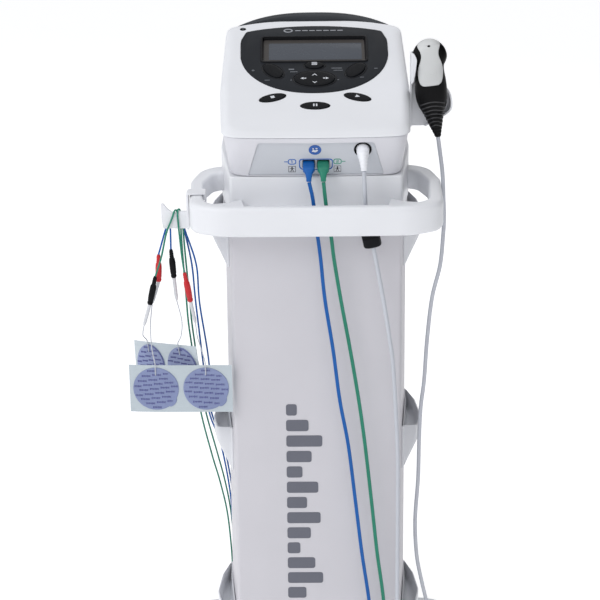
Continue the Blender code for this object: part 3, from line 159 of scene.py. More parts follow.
M = {
    "white": material("white_abs", (0.74, 0.75, 0.78), 0.38, mottle=0.012, bump=0.06, specular=0.4),
    "tub": material("tub_abs", (0.64, 0.64, 0.68), 0.42, mottle=0.015, bump=0.08, specular=0.4),
    "column": material(
        "column_paint", (0.57, 0.56, 0.595), 0.45, mottle=0.012, bump=0.12, grain=600.0, specular=0.35),
    "panel": material("panel_plate", (0.545, 0.565, 0.605), 0.45, mottle=0.015, bump=0.1, specular=0.35),
    "fascia": material(
        "fascia", (0.011, 0.013, 0.017), 0.46, mottle=0.1, bump=0.18, grain=1400.0, specular=0.16),
    "key": material("key_rubber", (0.0035, 0.004, 0.0055), 0.46, mottle=0.1, bump=0.1, specular=0.12),
    "black": material("black_grip", (0.003, 0.003, 0.0035), 0.4, mottle=0.15, bump=0.12, specular=0.12),
    "handle": material(
        "handle_bar", (0.026, 0.03, 0.036), 0.42, mottle=0.08, bump=0.25, grain=1200.0, specular=0.35),
    "bezel": material("bezel", (0.005, 0.005, 0.0065), 0.38, mottle=0.08, specular=0.16),
    "brown": material("display_border", (0.055, 0.05, 0.047), 0.34, mottle=0.08, specular=0.3),
    "lcd": material(
        "lcd_glass", (0.072, 0.08, 0.095), 0.26, mottle=0.05, bump=0.02, specular=0.25, cloud=9.0),
    "print_white": material("print_white", (0.62, 0.64, 0.68), 0.5),
    "print_dim": material("print_dim", (0.3, 0.31, 0.34), 0.5),
    "print_grey": material("print_grey", (0.16, 0.17, 0.19), 0.5),
    "print_blue": material("print_blue", (0.01, 0.12, 0.45), 0.45),
    "print_green": material("print_green", (0.06, 0.3, 0.21), 0.45),
    "print_black": material("print_black", (0.02, 0.02, 0.025), 0.5),
    "badge": material("badge_blue", (0.006, 0.075, 0.33), 0.3, coat=0.3),
    "graphic": material("column_graphic", (0.13, 0.135, 0.165), 0.48, mottle=0.03, specular=0.3),
    "cover": material("tool_cover", (0.56, 0.57, 0.57), 0.36, mottle=0.02, bump=0.1, specular=0.4),
    "rib": material("grip_ribs", (0.022, 0.022, 0.024), 0.36, mottle=0.12, bump=0.12),
    "sleeve": material("pin_sleeve", (0.6, 0.61, 0.64), 0.4, mottle=0.02, bump=0.05, specular=0.35),
    "metal": material("sound_metal", (0.7, 0.71, 0.72), 0.26, 1.0, mottle=0.03, grain=2400.0, bump=0.15),
    "cable": material("white_cable", (0.5, 0.52, 0.57), 0.42, mottle=0.02, bump=0.05, specular=0.35),
    "plug_white": material("white_plug", (0.78, 0.79, 0.83), 0.32, mottle=0.02),
    "blue": material("blue_cord", (0.003, 0.095, 0.36), 0.42, mottle=0.05, specular=0.3),
    "green": material("green_cord", (0.018, 0.2, 0.13), 0.42, mottle=0.05, specular=0.3),
    "red": material("red_plug", (0.52, 0.018, 0.025), 0.38, mottle=0.05, specular=0.35),
    "caster": material(
        "caster_steel", (0.23, 0.24, 0.26), 0.38, 0.6, mottle=0.06, wear=(0.5, (0.4, 0.4, 0.42))),
    "tyre": material("caster_tyre", (0.06, 0.06, 0.065), 0.62, mottle=0.15, bump=0.3, grain=700.0),
    "hub": material("caster_hub", (0.42, 0.43, 0.45), 0.4, mottle=0.04),
    "liner": material("release_liner", (0.46, 0.52, 0.56), 0.34, mottle=0.02, coat=0.1),
    "gel": material("gel_pad", (0.21, 0.25, 0.42), 0.42, mottle=0.08, specular=0.35),
    "gel_print": material("gel_print", (0.085, 0.095, 0.27), 0.5),
    "board": material("solder_mask", (0.02, 0.16, 0.07), 0.5, mottle=0.1),
    "steel": material("folded_steel", (0.45, 0.46, 0.48), 0.36, 0.8, mottle=0.05),
    "screw": material("screw_steel", (0.35, 0.36, 0.38), 0.32, 0.9, mottle=0.05)}


# ------------------------------------------------------------------- helpers
def piece(name, bm, mat, node=None, body="cart", smooth=35.0):
    """Turn bmesh geometry into a named piece that rides on a body when one is given."""
    bmesh.ops.recalc_face_normals(bm, faces=bm.faces)
    mesh = bpy.data.meshes.new(name)
    bm.to_mesh(mesh)
    bm.free()
    mesh.shade_smooth()
    mesh.set_sharp_from_angle(angle=math.radians(smooth))
    mesh.materials.append(M[mat])
    obj = bpy.data.objects.new(name, mesh)
    bpy.context.scene.collection.objects.link(obj)
    if body:
        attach(obj, body)
    if node:
        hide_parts(node)
    return obj


def bevelled(obj, width, segments=2, angle=40.0):
    mod = obj.modifiers.new("edge", "BEVEL")
    mod.width, mod.segments = width, segments
    mod.limit_method, mod.angle_limit = "ANGLE", math.radians(angle)
    mod.harden_normals = True
    mod.use_clamp_overlap = True
    return obj


def screws(name, places, axis, profile, count=24):
    bm = bmesh.new()
    for place in places:
        lathe(bm, profile, place, axis, count)
    piece(name, bm, "screw", smooth=40)


def refined(node, mat, body="cart", width=0.0003, angle=40.0):
    """A CAD part whose shape is right, welded, with softened edges and its real finish."""
    bm = bmesh.new()
    bm.from_mesh(NODES[node].data)
    bmesh.ops.remove_doubles(bm, verts=bm.verts, dist=1e-6)
    bmesh.ops.dissolve_limit(bm, angle_limit=math.radians(0.6), verts=bm.verts, edges=bm.edges)
    obj = piece(node + "_skin", bm, mat, node, body, smooth=40.0)
    if width:
        bevelled(obj, width, 2, angle)


def loft(bm, sections, close=False, caps=True):
    """Skin rings of equal length; flat caps at the ends unless the run closes."""
    rings = [[bm.verts.new(p) for p in section] for section in sections]
    count = len(rings[0])
    pairs = list(zip(rings, rings[1:]))
    if close:
        pairs.append((rings[-1], rings[0]))
    for low, high in pairs:
        for i in range(count):
            j = (i + 1) % count
            bm.faces.new((low[i], low[j], high[j], high[i]))
    if caps and not close:
        bm.faces.new(list(reversed(rings[0])))
        bm.faces.new(rings[-1])
    return bm


def rounded(corners, segments=8):
    """Plan outline through (x, y, radius) corners, each corner an arc."""
    outline = []
    count = len(corners)
    for i, (x, y, radius) in enumerate(corners):
        here = Vector((x, y))
        before = Vector(corners[i - 1][:2]) - here
        after = Vector(corners[(i + 1) % count][:2]) - here
        reach = min(before.length, after.length) * 0.49
        before.normalize()
        after.normalize()
        half = before.angle(after) / 2.0
        tangent = min(radius / max(math.tan(half), 1e-6), reach)
        start = here + before * tangent
        end = here + after * tangent
        for k in range(segments + 1):
            t = k / segments
            outline.append(start * (1 - t) ** 2 + here * (2 * t * (1 - t)) + end * t ** 2)
    return outline


def oblong(x0, y0, x1, y1, radius, segments=5):
    return rounded([(x0, y0, radius), (x1, y0, radius), (x1, y1, radius), (x0, y1, radius)], segments)


def mirrored(half):
    return half + [(-x, y, r) for x, y, r in reversed(half)]


def level(outline, z):
    return [Vector((p.x, p.y, z)) for p in outline]


def ellipse(count, a, b, turn=0.0, power=2.0):
    points = []
    for k in range(count):
        angle = 2 * math.pi * k / count
        c, s = math.cos(angle), math.sin(angle)
        x = a * math.copysign(abs(c) ** (2 / power), c)
        y = b * math.copysign(abs(s) ** (2 / power), s)
        points.append((x * math.cos(turn) - y * math.sin(turn), x * math.sin(turn) + y * math.cos(turn)))
    return points


def face_point(x, v, n=0.0):
    """Point on the sloping control face: x across, v up the slope, n outwards."""
    up = Vector((0, math.cos(FACE_TILT), math.sin(FACE_TILT)))
    out = Vector((0, -math.sin(FACE_TILT), math.cos(FACE_TILT)))
    return FACE_ORIGIN + Vector((x, 0, 0)) + up * v + out * n


def panel_point(x, w, n=0.0):
    """Point on the leaning front socket panel: x across, w upwards, n outwards."""
    up = Vector((0, -math.sin(PANEL_LEAN), math.cos(PANEL_LEAN)))
    out = Vector((0, -math.cos(PANEL_LEAN), -math.sin(PANEL_LEAN)))
    return PANEL_ORIGIN + Vector((x, 0, 0)) + up * w + out * n


def face_z(y):
    return FACE_ORIGIN.z + (y - FACE_ORIGIN.y) * math.tan(FACE_TILT)


def carry_frames(points, side):
    """Sideways and upward axes along a path, turning as little as possible."""
    frames = []
    last = len(points) - 1
    across = Vector(side)
    for i in range(len(points)):
        run = (points[min(i + 1, last)] - points[max(i - 1, 0)]).normalized()
        across = (across - run * across.dot(run)).normalized()
        frames.append((across, run.cross(across)))
    return frames


def sweep(bm, points, outlines, side=(1, 0, 0), caps=True):
    """Skin one outline (list of x, y pairs) per path point."""
    points = [Vector(p) for p in points]
    sections = []
    for point, (across, over), outline in zip(points, carry_frames(points, side), outlines):
        sections.append([point + across * x + over * y for x, y in outline])
    return loft(bm, sections, caps=caps)


def lathe(bm, profile, start, axis, count=40, close=False):
    """Solid of revolution from (distance along axis, radius) pairs."""
    axis = Vector(axis).normalized()
    across = axis.orthogonal().normalized()
    over = axis.cross(across)
    sections = []
    for along, radius in profile:
        centre = Vector(start) + axis * along
        sections.append([
            centre + across * (
                radius * math.cos(2 * math.pi * k / count)
            ) + over * (radius * math.sin(2 * math.pi * k / count))
            for k in range(count)])
    return loft(bm, sections, close)


def combine(obj, bm, operation="DIFFERENCE", smooth=35.0):
    """Cut or join a shape and keep the result as a plain mesh."""
    bmesh.ops.recalc_face_normals(bm, faces=bm.faces)
    mesh = bpy.data.meshes.new("tool")
    bm.to_mesh(mesh)
    bm.free()
    tool = bpy.data.objects.new("tool", mesh)
    bpy.context.scene.collection.objects.link(tool)
    mod = obj.modifiers.new("join", "BOOLEAN")
    mod.operation, mod.solver, mod.object = operation, "EXACT", tool
    shape = bpy.data.meshes.new_from_object(obj.evaluated_get(bpy.context.evaluated_depsgraph_get()))
    obj.modifiers.remove(mod)
    obj.data = shape
    bpy.data.objects.remove(tool, do_unlink=True)
    shape.shade_smooth()
    shape.set_sharp_from_angle(angle=math.radians(smooth))
    return obj


def cord_points(points, step):
    """Smooth curve through the given points."""
    points = [Vector(p) for p in points]
    padded = [points[0] * 2 - points[1]] + points + [points[-1] * 2 - points[-2]]
    path = []
    for a, b, c, d in zip(padded, padded[1:], padded[2:], padded[3:]):
        pieces = max(1, round((c - b).length / step))
        for k in range(pieces):
            t = k / pieces
            path.append(
                0.5 * (
                    b * 2 + (c - a) * t + (
                        a * 2 - b * 5 + c * 4 - d) * t ** 2 + (b * 3 - a - c * 3 + d) * t ** 3))
    path.append(points[-1])
    return path


def prism(bm, outline, place, low, high):
    """Upright-sided slab on a sloping surface given by place(x, v, n)."""
    loft(bm, [[place(p[0], p[1], n) for p in outline] for n in (low, high)])
    return bm


# --------------------------------------------------------------------- cords
def tenths(*points):
    """Points given in tenths of a millimetre; a height under 1000 is measured from the foot's tray."""
    return [(x / 1e4, y / 1e4, z / 1e4 + (TRAY if z < 1000 else 0)) for x, y, z in points]


CABLE_ROUTE = tenths(
    (716, -1985, 10060), (735, -1955, 9750), (762, -1941, 9570), (850, -1920, 9150), (1000, -1880, 8320),
    (1100, -1860, 7660), (1160, -1850, 7160), (1230, -1830, 5860), (1240, -1830, 5040), (1240, -1850, 4030),
    (1240, -1860, 3220), (1250, -1890, 2200), (1310, -1960, 1350), (1520, -2060, 40), (1850, -2020, 32),
    (2050, -1750, 32), (2090, -1450, 150), (1980, -1260, 1550), (1850, -1190, 2200), (1740, -1180, 2830),
    (1670, -1180, 3150), (1580, -1180, 3650), (1550, -1170, 4270), (1590, -1170, 5010), (1600, -1160, 5620),
    (1620, -1160, 6220), (1670, -1150, 6690), (1710, -1120, 7350), (1780, -1100, 8040), (1900, -1060, 8560),
    (1940, -1030, 8990), (1956, -989, 9290), (1945, -950, 9650), (1930, -880, 10000), (1893, -820, 10300))
BLUE_TRUNK = tenths(
    (-49, -1969, 9944), (-20, -1948, 9624), (21, -1930, 9319), (60, -1910, 8980), (120, -1880, 8330),
    (240, -1860, 7500), (340, -1840, 6660), (470, -1830, 5890), (590, -1830, 4840), (680, -1850, 4040),
    (790, -1850, 3230), (900, -1840, 2200), (985, -1800, 1350), (1120, -1740, 40), (1400, -1690, 29),
    (1560, -1500, 29), (1585, -1000, 29), (1590, -200, 29), (1580, 600, 29), (1550, 960, 29),
    (1440, 1180, 29), (1260, 1240, 29))
GREEN_TRUNK = tenths(
    (134, -1969, 9942), (175, -1948, 9622), (222, -1930, 9316), (260, -1910, 8980), (360, -1880, 8320),
    (500, -1860, 7500), (630, -1840, 6660), (730, -1830, 5880), (840, -1830, 4830), (920, -1850, 4040),
    (1020, -1860, 3240), (1100, -1870, 2200), (1170, -1870, 1350), (1300, -1860, 40), (1520, -1780, 29),
    (1665, -1540, 29), (1690, -1000, 29), (1695, -200, 29), (1690, 600, 29), (1660, 1020, 29),
    (1530, 1300, 29), (1310, 1385, 29))
WIRE_ROUTES = {
    "blue_wire_red": ("blue", -1, tenths(
        (1000, 1210, 15), (0, 1200, 15), (-950, 1215, 15), (-1280, 1280, 60), (-1410, 1310, 1600),
        (-1440, 1240, 2500), (-1460, 1000, 3640), (-1590, 560, 4840), (-1750, -20, 5700), (-1790, -790, 6870),
        (-1860, -1180, 8030), (-1900, -1280, 8700), (-1995, -1310, 9250), (-2030, -1310, 9440),
        (-2058, -1310, 9508), (-2120, -1310, 9524), (-2178, -1310, 9510), (-2225, -1320, 9440),
        (-2290, -1370, 9260), (-2390, -1460, 8930))),
    "blue_wire_black": ("blue", 1, tenths(
        (1000, 1270, 15), (0, 1255, 15), (-950, 1265, 15), (-1240, 1340, 60), (-1370, 1370, 1600),
        (-1390, 1270, 2500), (-1420, 1040, 3640), (-1550, 600, 4840), (-1720, 40, 5700), (-1700, -760, 6870),
        (-1800, -1200, 8030), (-1830, -1310, 8700), (-1975, -1370, 9250), (-2025, -1370, 9440),
        (-2055, -1370, 9508), (-2120, -1370, 9524), (-2172, -1370, 9512), (-2202, -1380, 9460),
        (-2200, -1450, 9250), (-2200, -1480, 9020))),
    "green_wire_black": ("green", -1, tenths(
        (1040, 1355, 15), (0, 1350, 15), (-980, 1360, 15), (-1330, 1420, 60), (-1450, 1450, 1600),
        (-1480, 1330, 2500), (-1530, 1100, 3320), (-1630, 860, 4010), (-1750, 580, 4670), (-1880, -50, 5700),
        (-1910, -660, 6610), (-1980, -1110, 7620), (-2000, -1260, 8140), (-2030, -1390, 8900),
        (-2043, -1440, 9360), (-2052, -1452, 9500), (-2085, -1460, 9590), (-2100, -1474, 9640),
        (-2115, -1520, 9655), (-2130, -1564, 9645), (-2148, -1580, 9590), (-2190, -1586, 9480),
        (-2259, -1590, 9300), (-2340, -1600, 8940), (-2440, -1600, 8630))),
    "green_wire_red": ("green", 1, tenths(
        (1040, 1415, 15), (0, 1405, 15), (-980, 1410, 15), (-1290, 1470, 60), (-1400, 1490, 1600),
        (-1430, 1370, 2500), (-1470, 1140, 3320), (-1550, 900, 4010), (-1660, 630, 4670), (-1810, 30, 5700),
        (-1860, -620, 6610), (-1930, -1080, 7620), (-1950, -1240, 8140), (-1990, -1390, 8900),
        (-2010, -1445, 9360), (-2016, -1458, 9500), (-2040, -1466, 9600), (-2052, -1478, 9655),
        (-2070, -1520, 9668), (-2078, -1562, 9652), (-2080, -1576, 9590), (-2072, -1580, 9480),
        (-2060, -1590, 9300), (-2030, -1600, 8940), (-2000, -1600, 8690)))}
CONNECTORS = {
    "blue_wire_red": ("pin_connector_blue_red", "red", tenths((-2401, -1475, 8501), (-2509, -1500, 8153))),
    "blue_wire_black": ("pin_connector_blue_black", "key", tenths(
        (-2166, -1500, 8570), (-2133, -1520, 8206))),
    "green_wire_black": ("pin_connector_green_black", "key", tenths(
        (-2539, -1605, 8178), (-2636, -1600, 7835))),
    "green_wire_red": ("pin_connector_green_red", "red", tenths((-1919, -1600, 8215), (-1853, -1600, 7860)))}

SOCKETS = {"blue": -0.0107, "green": 0.0107}
SOCKET_W = -0.0137
TOOL_SOCKET = (0.0692, 0.0126)
TOOL_TOP = Vector((0.169, -0.08, 1.206))
TOOL_TAIL = Vector((0.1855, -0.08, 1.059))


def tool_point(along, across=0.0, out=0.0):
    """Point in the applicator: metres down from its crown, across, towards the front."""
    down = (TOOL_TAIL - TOOL_TOP).normalized()
    side = Vector((1, 0, 0))
    side = (side - down * side.dot(down)).normalized()
    sway = 0.0034 * math.sin(math.pi * max(0.0, min(1.0, (along - 0.03) / 0.12)))
    return TOOL_TOP + down * along + side * (across - sway) + Vector((0, -1, 0)) * out


def lead_plug(name):
    """Flat moulded plug, stepped at its grip, with a drooping ribbed strain relief."""
    x = SOCKETS[name]
    centre = [panel_point(x, SOCKET_W, n) for n in (-0.0085, -0.001, 0.002, 0.01, 0.0135)]
    centre += [
        panel_point(x, SOCKET_W - 0.001, 0.0165), panel_point(x, SOCKET_W - 0.003, 0.02),
        panel_point(x, SOCKET_W - 0.007, 0.024), panel_point(x, SOCKET_W - 0.0115, 0.0262)]
    sizes = [
        (0.0076, 0.0054), (0.0086, 0.006), (0.0088, 0.0062), (0.0088, 0.0062), (0.0084, 0.0058),
        (0.007, 0.005), (0.0053, 0.0043), (0.0043, 0.0037), (0.0037, 0.0032)]
    path, outlines = [], []
    count = len(centre)
    for i in range((count - 1) * 4 + 1):
        k, t = min(i // 4, count - 2), (i / 4) - min(i // 4, count - 2)
        path.append(centre[k].lerp(centre[k + 1], t))
        a = sizes[k][0] * (1 - t) + sizes[k + 1][0] * t
        b = sizes[k][1] * (1 - t) + sizes[k + 1][1] * t
        step = 0.94 if k >= 5 and i % 4 in (0, 1) else 1.0
        outlines.append(ellipse(28, a * step, b * step, 0.0, 4.5 if k < 5 else 3.4))
    bm = sweep(bmesh.new(), path, outlines)
    obj = piece(name + "_plug_body", bm, name, name + "_plug", smooth=40)
    return obj, centre[-1]


def applicator_plug():
    """Round white plug of the applicator cable with a ribbed strain relief."""
    x, w = TOOL_SOCKET
    centre = [panel_point(x, w, n) for n in (-0.0085, 0.0, 0.008, 0.014)]
    centre += [
        panel_point(x, w - 0.0015, 0.0185), panel_point(x + 0.0003, w - 0.0045, 0.023),
        panel_point(x + 0.0006, w - 0.0095, 0.027), panel_point(x + 0.001, w - 0.016, 0.0295)]
    radii = [0.0098, 0.0098, 0.0094, 0.0087, 0.0075, 0.0063, 0.0053, 0.0045]
    path = cord_points(centre, 0.0011)
    outlines = []
    total = len(path) - 1
    for i in range(len(path)):
        s = i / total * (len(radii) - 1)
        k = min(int(s), len(radii) - 2)
        r = radii[k] + (radii[k + 1] - radii[k]) * (s - k)
        if s > 3.2:
            r *= 0.93 if (i // 2) % 2 else 1.02
        outlines.append(ellipse(32, r, r))
    bm = sweep(bmesh.new(), path, outlines)
    obj = piece("applicator_plug_body", bm, "plug_white", "applicator_plug", smooth=50)
    return obj, centre[-1]


def ferrite_block():
    """Clip-on ferrite: two latched half shells round the cable."""
    start, end = Vector(CABLE_ROUTE[2]), Vector(CABLE_ROUTE[3])
    run = (end - start).normalized()
    across = (Vector((1, 0, 0)) - run * run.x).normalized()
    over = run.cross(across)
    rows = (
        (0.004, 0.004, 0.004, 2.0), (0.004, 0.0104, 0.0074, 3.6), (0.0046, 0.0122, 0.009, 3.6),
        (0.0062, 0.0136, 0.0102, 3.6), (0.0203, 0.0136, 0.0102, 3.6), (0.0206, 0.0131, 0.0097, 3.6),
        (0.0212, 0.0131, 0.0097, 3.6), (0.0215, 0.0136, 0.0102, 3.6), (0.035, 0.0136, 0.0102, 3.6),
        (0.037, 0.0126, 0.0094, 3.4), (0.0382, 0.0106, 0.0078, 3.2), (0.0382, 0.004, 0.004, 2.0))
    rings = []
    for along, a, b, power in rows:
        rings.append([start + run * along + across * x + over * y for x, y in ellipse(36, a, b, 0.0, power)])
    bm = loft(bmesh.new(), rings, close=True)
    return piece("ferrite_block", bm, "key", "ferrite_core", smooth=40)


def pin_connector(wire, top):
    """Moulded lead connector with the electrode's white pin sleeve plugged into it."""
    label, colour, (middle, bottom) = CONNECTORS[wire]
    middle, bottom = Vector(middle), Vector(bottom)
    spots = [
        (0.0, 0.0022), (0.06, 0.003), (0.1, 0.0033), (0.13, 0.0029), (0.17, 0.0034), (0.2, 0.003),
        (0.24, 0.0035), (0.28, 0.0032), (0.33, 0.0044), (0.45, 0.0049), (0.7, 0.0048), (0.84, 0.0045),
        (0.86, 0.0041), (0.9, 0.0041), (0.92, 0.0045), (0.97, 0.0041), (1.0, 0.0034)]
    bm = sweep(bmesh.new(), [top.lerp(middle, t) for t, r in spots], [ellipse(24, r, r) for t, r in spots])
    body = piece(label + "_body", bm, colour, label, smooth=50)
    spots = [
        (0.0, 0.0026), (0.05, 0.0027), (0.6, 0.0027), (0.68, 0.0025), (0.72, 0.0027), (0.88, 0.0024),
        (1.0, 0.0014)]
    bm = sweep(bmesh.new(), [middle.lerp(bottom, t) for t, r in spots], [ellipse(20, r, r) for t, r in spots])
    piece(label + "_sleeve", bm, "sleeve", smooth=50)
    return body


def flat_twin(half):
    """Outline of two round wires moulded side by side."""
    r = half * 0.52
    outline = []
    for sign in (1, -1):
        for k in range(11):
            angle = math.radians(-130 + 26 * k)
            x, y = (half - r) * sign + r * math.cos(angle) * sign, r * math.sin(angle) * sign
            outline.append((x, y))
    return outline


def tube(name, points, outline, mat, node=None, body="cart"):
    bm = sweep(bmesh.new(), points, [outline] * len(points))
    return piece(name, bm, mat, node, body, smooth=60)


def leads():
    plug, plug_exit = applicator_plug()
    ferrite = ferrite_block()
    route = [
        plug_exit + (Vector(CABLE_ROUTE[0]) - plug_exit).normalized() * CORD_GAP
    ] + CABLE_ROUTE + [tool_point(0.1521)]
    path = cord_points(route, 0.008)
    r = CABLE_DIAMETER / 2
    cable = tube("applicator_cable_jacket", path, ellipse(16, r, r), "cable", "applicator_cable", body=None)
    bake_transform(cable)
    ends = {}
    for name, trunk in (("blue", BLUE_TRUNK), ("green", GREEN_TRUNK)):
        plug, start = lead_plug(name)
        gap = (Vector(trunk[0]) - start).normalized() * CORD_GAP
        path = cord_points([start + gap] + trunk, 0.008)
        lead = tube(name + "_lead_jacket", path, flat_twin(TRUNK_DIAMETER / 2), name, name + "_lead")
        last = Vector(trunk[-1])
        run = (last - Vector(trunk[-2])).normalized()
        ends[name] = (last, run)
        bm = bmesh.new()
        rows = [(-0.01, 0.003), (-0.009, 0.0034), (0.0, 0.0036), (0.0018, 0.0034), (0.0022, 0.0028)]
        sweep(
            bm, [last + run * t - Vector((0, 0, 0.0002)) for t, r in rows],
            [ellipse(20, r, r * 0.72, 0.0, 3.0) for t, r in rows], side=(-run.y, run.x, 0))
        split = piece(name + "_lead_split", bm, name, smooth=50)
    for name, (trunk, side, route) in WIRE_ROUTES.items():
        last, run = ends[trunk]
        across = Vector((-run.y, run.x, 0)) * -side
        start = last + run * CORD_GAP * 1.8 + across * 0.0019 - Vector((0, 0, 0.0013))
        path = cord_points([start] + route, 0.007)
        r = WIRE_DIAMETER / 2
        wire = tube(name + "_jacket", path, ellipse(12, r, r), trunk, name)
        end = Vector(route[-1])
        body = pin_connector(name, end + (end - Vector(route[-2])).normalized() * GAP)


# --------------------------------------------------------------- applicator
# metres down from the crown, half width, depth to the front, depth to the back
TOOL_PROFILE = [
    (0.001, 0.006, 0.004, 0.006), (0.004, 0.013, 0.0085, 0.012), (0.01, 0.02, 0.012, 0.016),
    (0.018, 0.0245, 0.014, 0.0175), (0.027, 0.026, 0.015, 0.0175), (0.035, 0.024, 0.0155, 0.0165),
    (0.041, 0.0212, 0.016, 0.015), (0.05, 0.0212, 0.0168, 0.014), (0.062, 0.0232, 0.0178, 0.0145),
    (0.076, 0.0243, 0.0182, 0.015), (0.09, 0.0236, 0.0178, 0.0148), (0.102, 0.0208, 0.0165, 0.0138),
    (0.11, 0.0172, 0.0148, 0.0125)]
# metres down from the crown, half width
COVER_STATIONS = [
    (0.0, 0.004), (0.002, 0.0105), (0.0045, 0.0145), (0.008, 0.0172), (0.011, 0.0158), (0.015, 0.014),
    (0.02, 0.0131), (0.025, 0.0136), (0.031, 0.0155), (0.037, 0.0174), (0.044, 0.0187), (0.051, 0.0189),
    (0.057, 0.0182), (0.062, 0.0167), (0.065, 0.0148), (0.067, 0.011)]
COVER_LENGTH = 0.0646


def smooth_rows(rows, step):
    """Same stations, read from a smooth curve through them."""
    rows = [tuple(r) for r in rows]
    padded = [tuple(2 * a - b for a, b in zip(rows[0], rows[1]))] + rows + \
        [tuple(2 * a - b for a, b in zip(rows[-1], rows[-2]))]
    out = []
    for a, b, c, d in zip(padded, padded[1:], padded[2:], padded[3:]):
        for k in range(step):
            t = k / step
            out.append(tuple(
                0.5 * (
                    q * 2 + (r - p) * t + (
                        p * 2 - q * 5 + r * 4 - s) * t ** 2 + (q * 3 - p - r * 3 + s) * t ** 3)
                for p, q, r, s in zip(a, b, c, d)))
    out.append(rows[-1])
    return out


TOOL_ROWS = smooth_rows(TOOL_PROFILE, 4)
COVER_ROWS = smooth_rows(COVER_STATIONS, 4)


def tool_section(along, half, front, back, power=2.3, count=48):
    return [
        tool_point(along, x, y * (front if y > 0 else back)) for x, y in ellipse(count, half, 1.0, 0.0, power)
    ]


def between(rows, along):
    for low, high in zip(rows, rows[1:]):
        if along <= high[0]:
            t = max(0.0, (along - low[0]) / max(1e-9, high[0] - low[0]))
            return [a + (b - a) * t for a, b in zip(low[1:], high[1:])]
    return list(rows[-1][1:])


def grip_front(along, across):
    half, front, _ = between(TOOL_ROWS, along)
    share = min(0.999, abs(across) / half)
    return front * (1 - share ** 2.3) ** (1 / 2.3)


def cover_body(bm, grow, low, high, rows=48, columns=20):
    """Thin shell lying on the front of the grip, between two offsets."""
    grids = []
    for edge, offset in ((0.0007, high), (0.0, high - 0.0005), (0.0, low)):
        grid = []
        for i in range(rows + 1):
            along = 0.0024 - grow + edge + (COVER_LENGTH + 2 * grow - 2 * edge) * i / rows
            half = max(0.0015, between(COVER_ROWS, along)[0] + grow - edge)
            grid.append([
                bm.verts.new(tool_point(
                    along, half * (-1 + 2 * j / columns),
                    grip_front(along, half * (-1 + 2 * j / columns)) + offset))
                for j in range(columns + 1)])
        grids.append(grid)

    def quads(grid, flip):
        for i in range(rows):
            for j in range(columns):
                loop = (grid[i][j], grid[i][j + 1], grid[i + 1][j + 1], grid[i + 1][j])
                bm.faces.new(loop if flip else tuple(reversed(loop)))

    def rim(a, b):
        def border(g):
            return (
                [g[0][j] for j in range(columns)] + [g[i][columns] for i in range(rows)] + [
                    g[rows][j] for j in range(columns, 0, -1)] + [g[i][0] for i in range(rows, 0, -1)])
        first, second = border(a), border(b)
        for i in range(len(first)):
            j = (i + 1) % len(first)
            bm.faces.new((first[i], first[j], second[j], second[i]))

    quads(grids[0], True)
    quads(grids[-1], False)
    rim(grids[0], grids[1])
    rim(grids[1], grids[2])


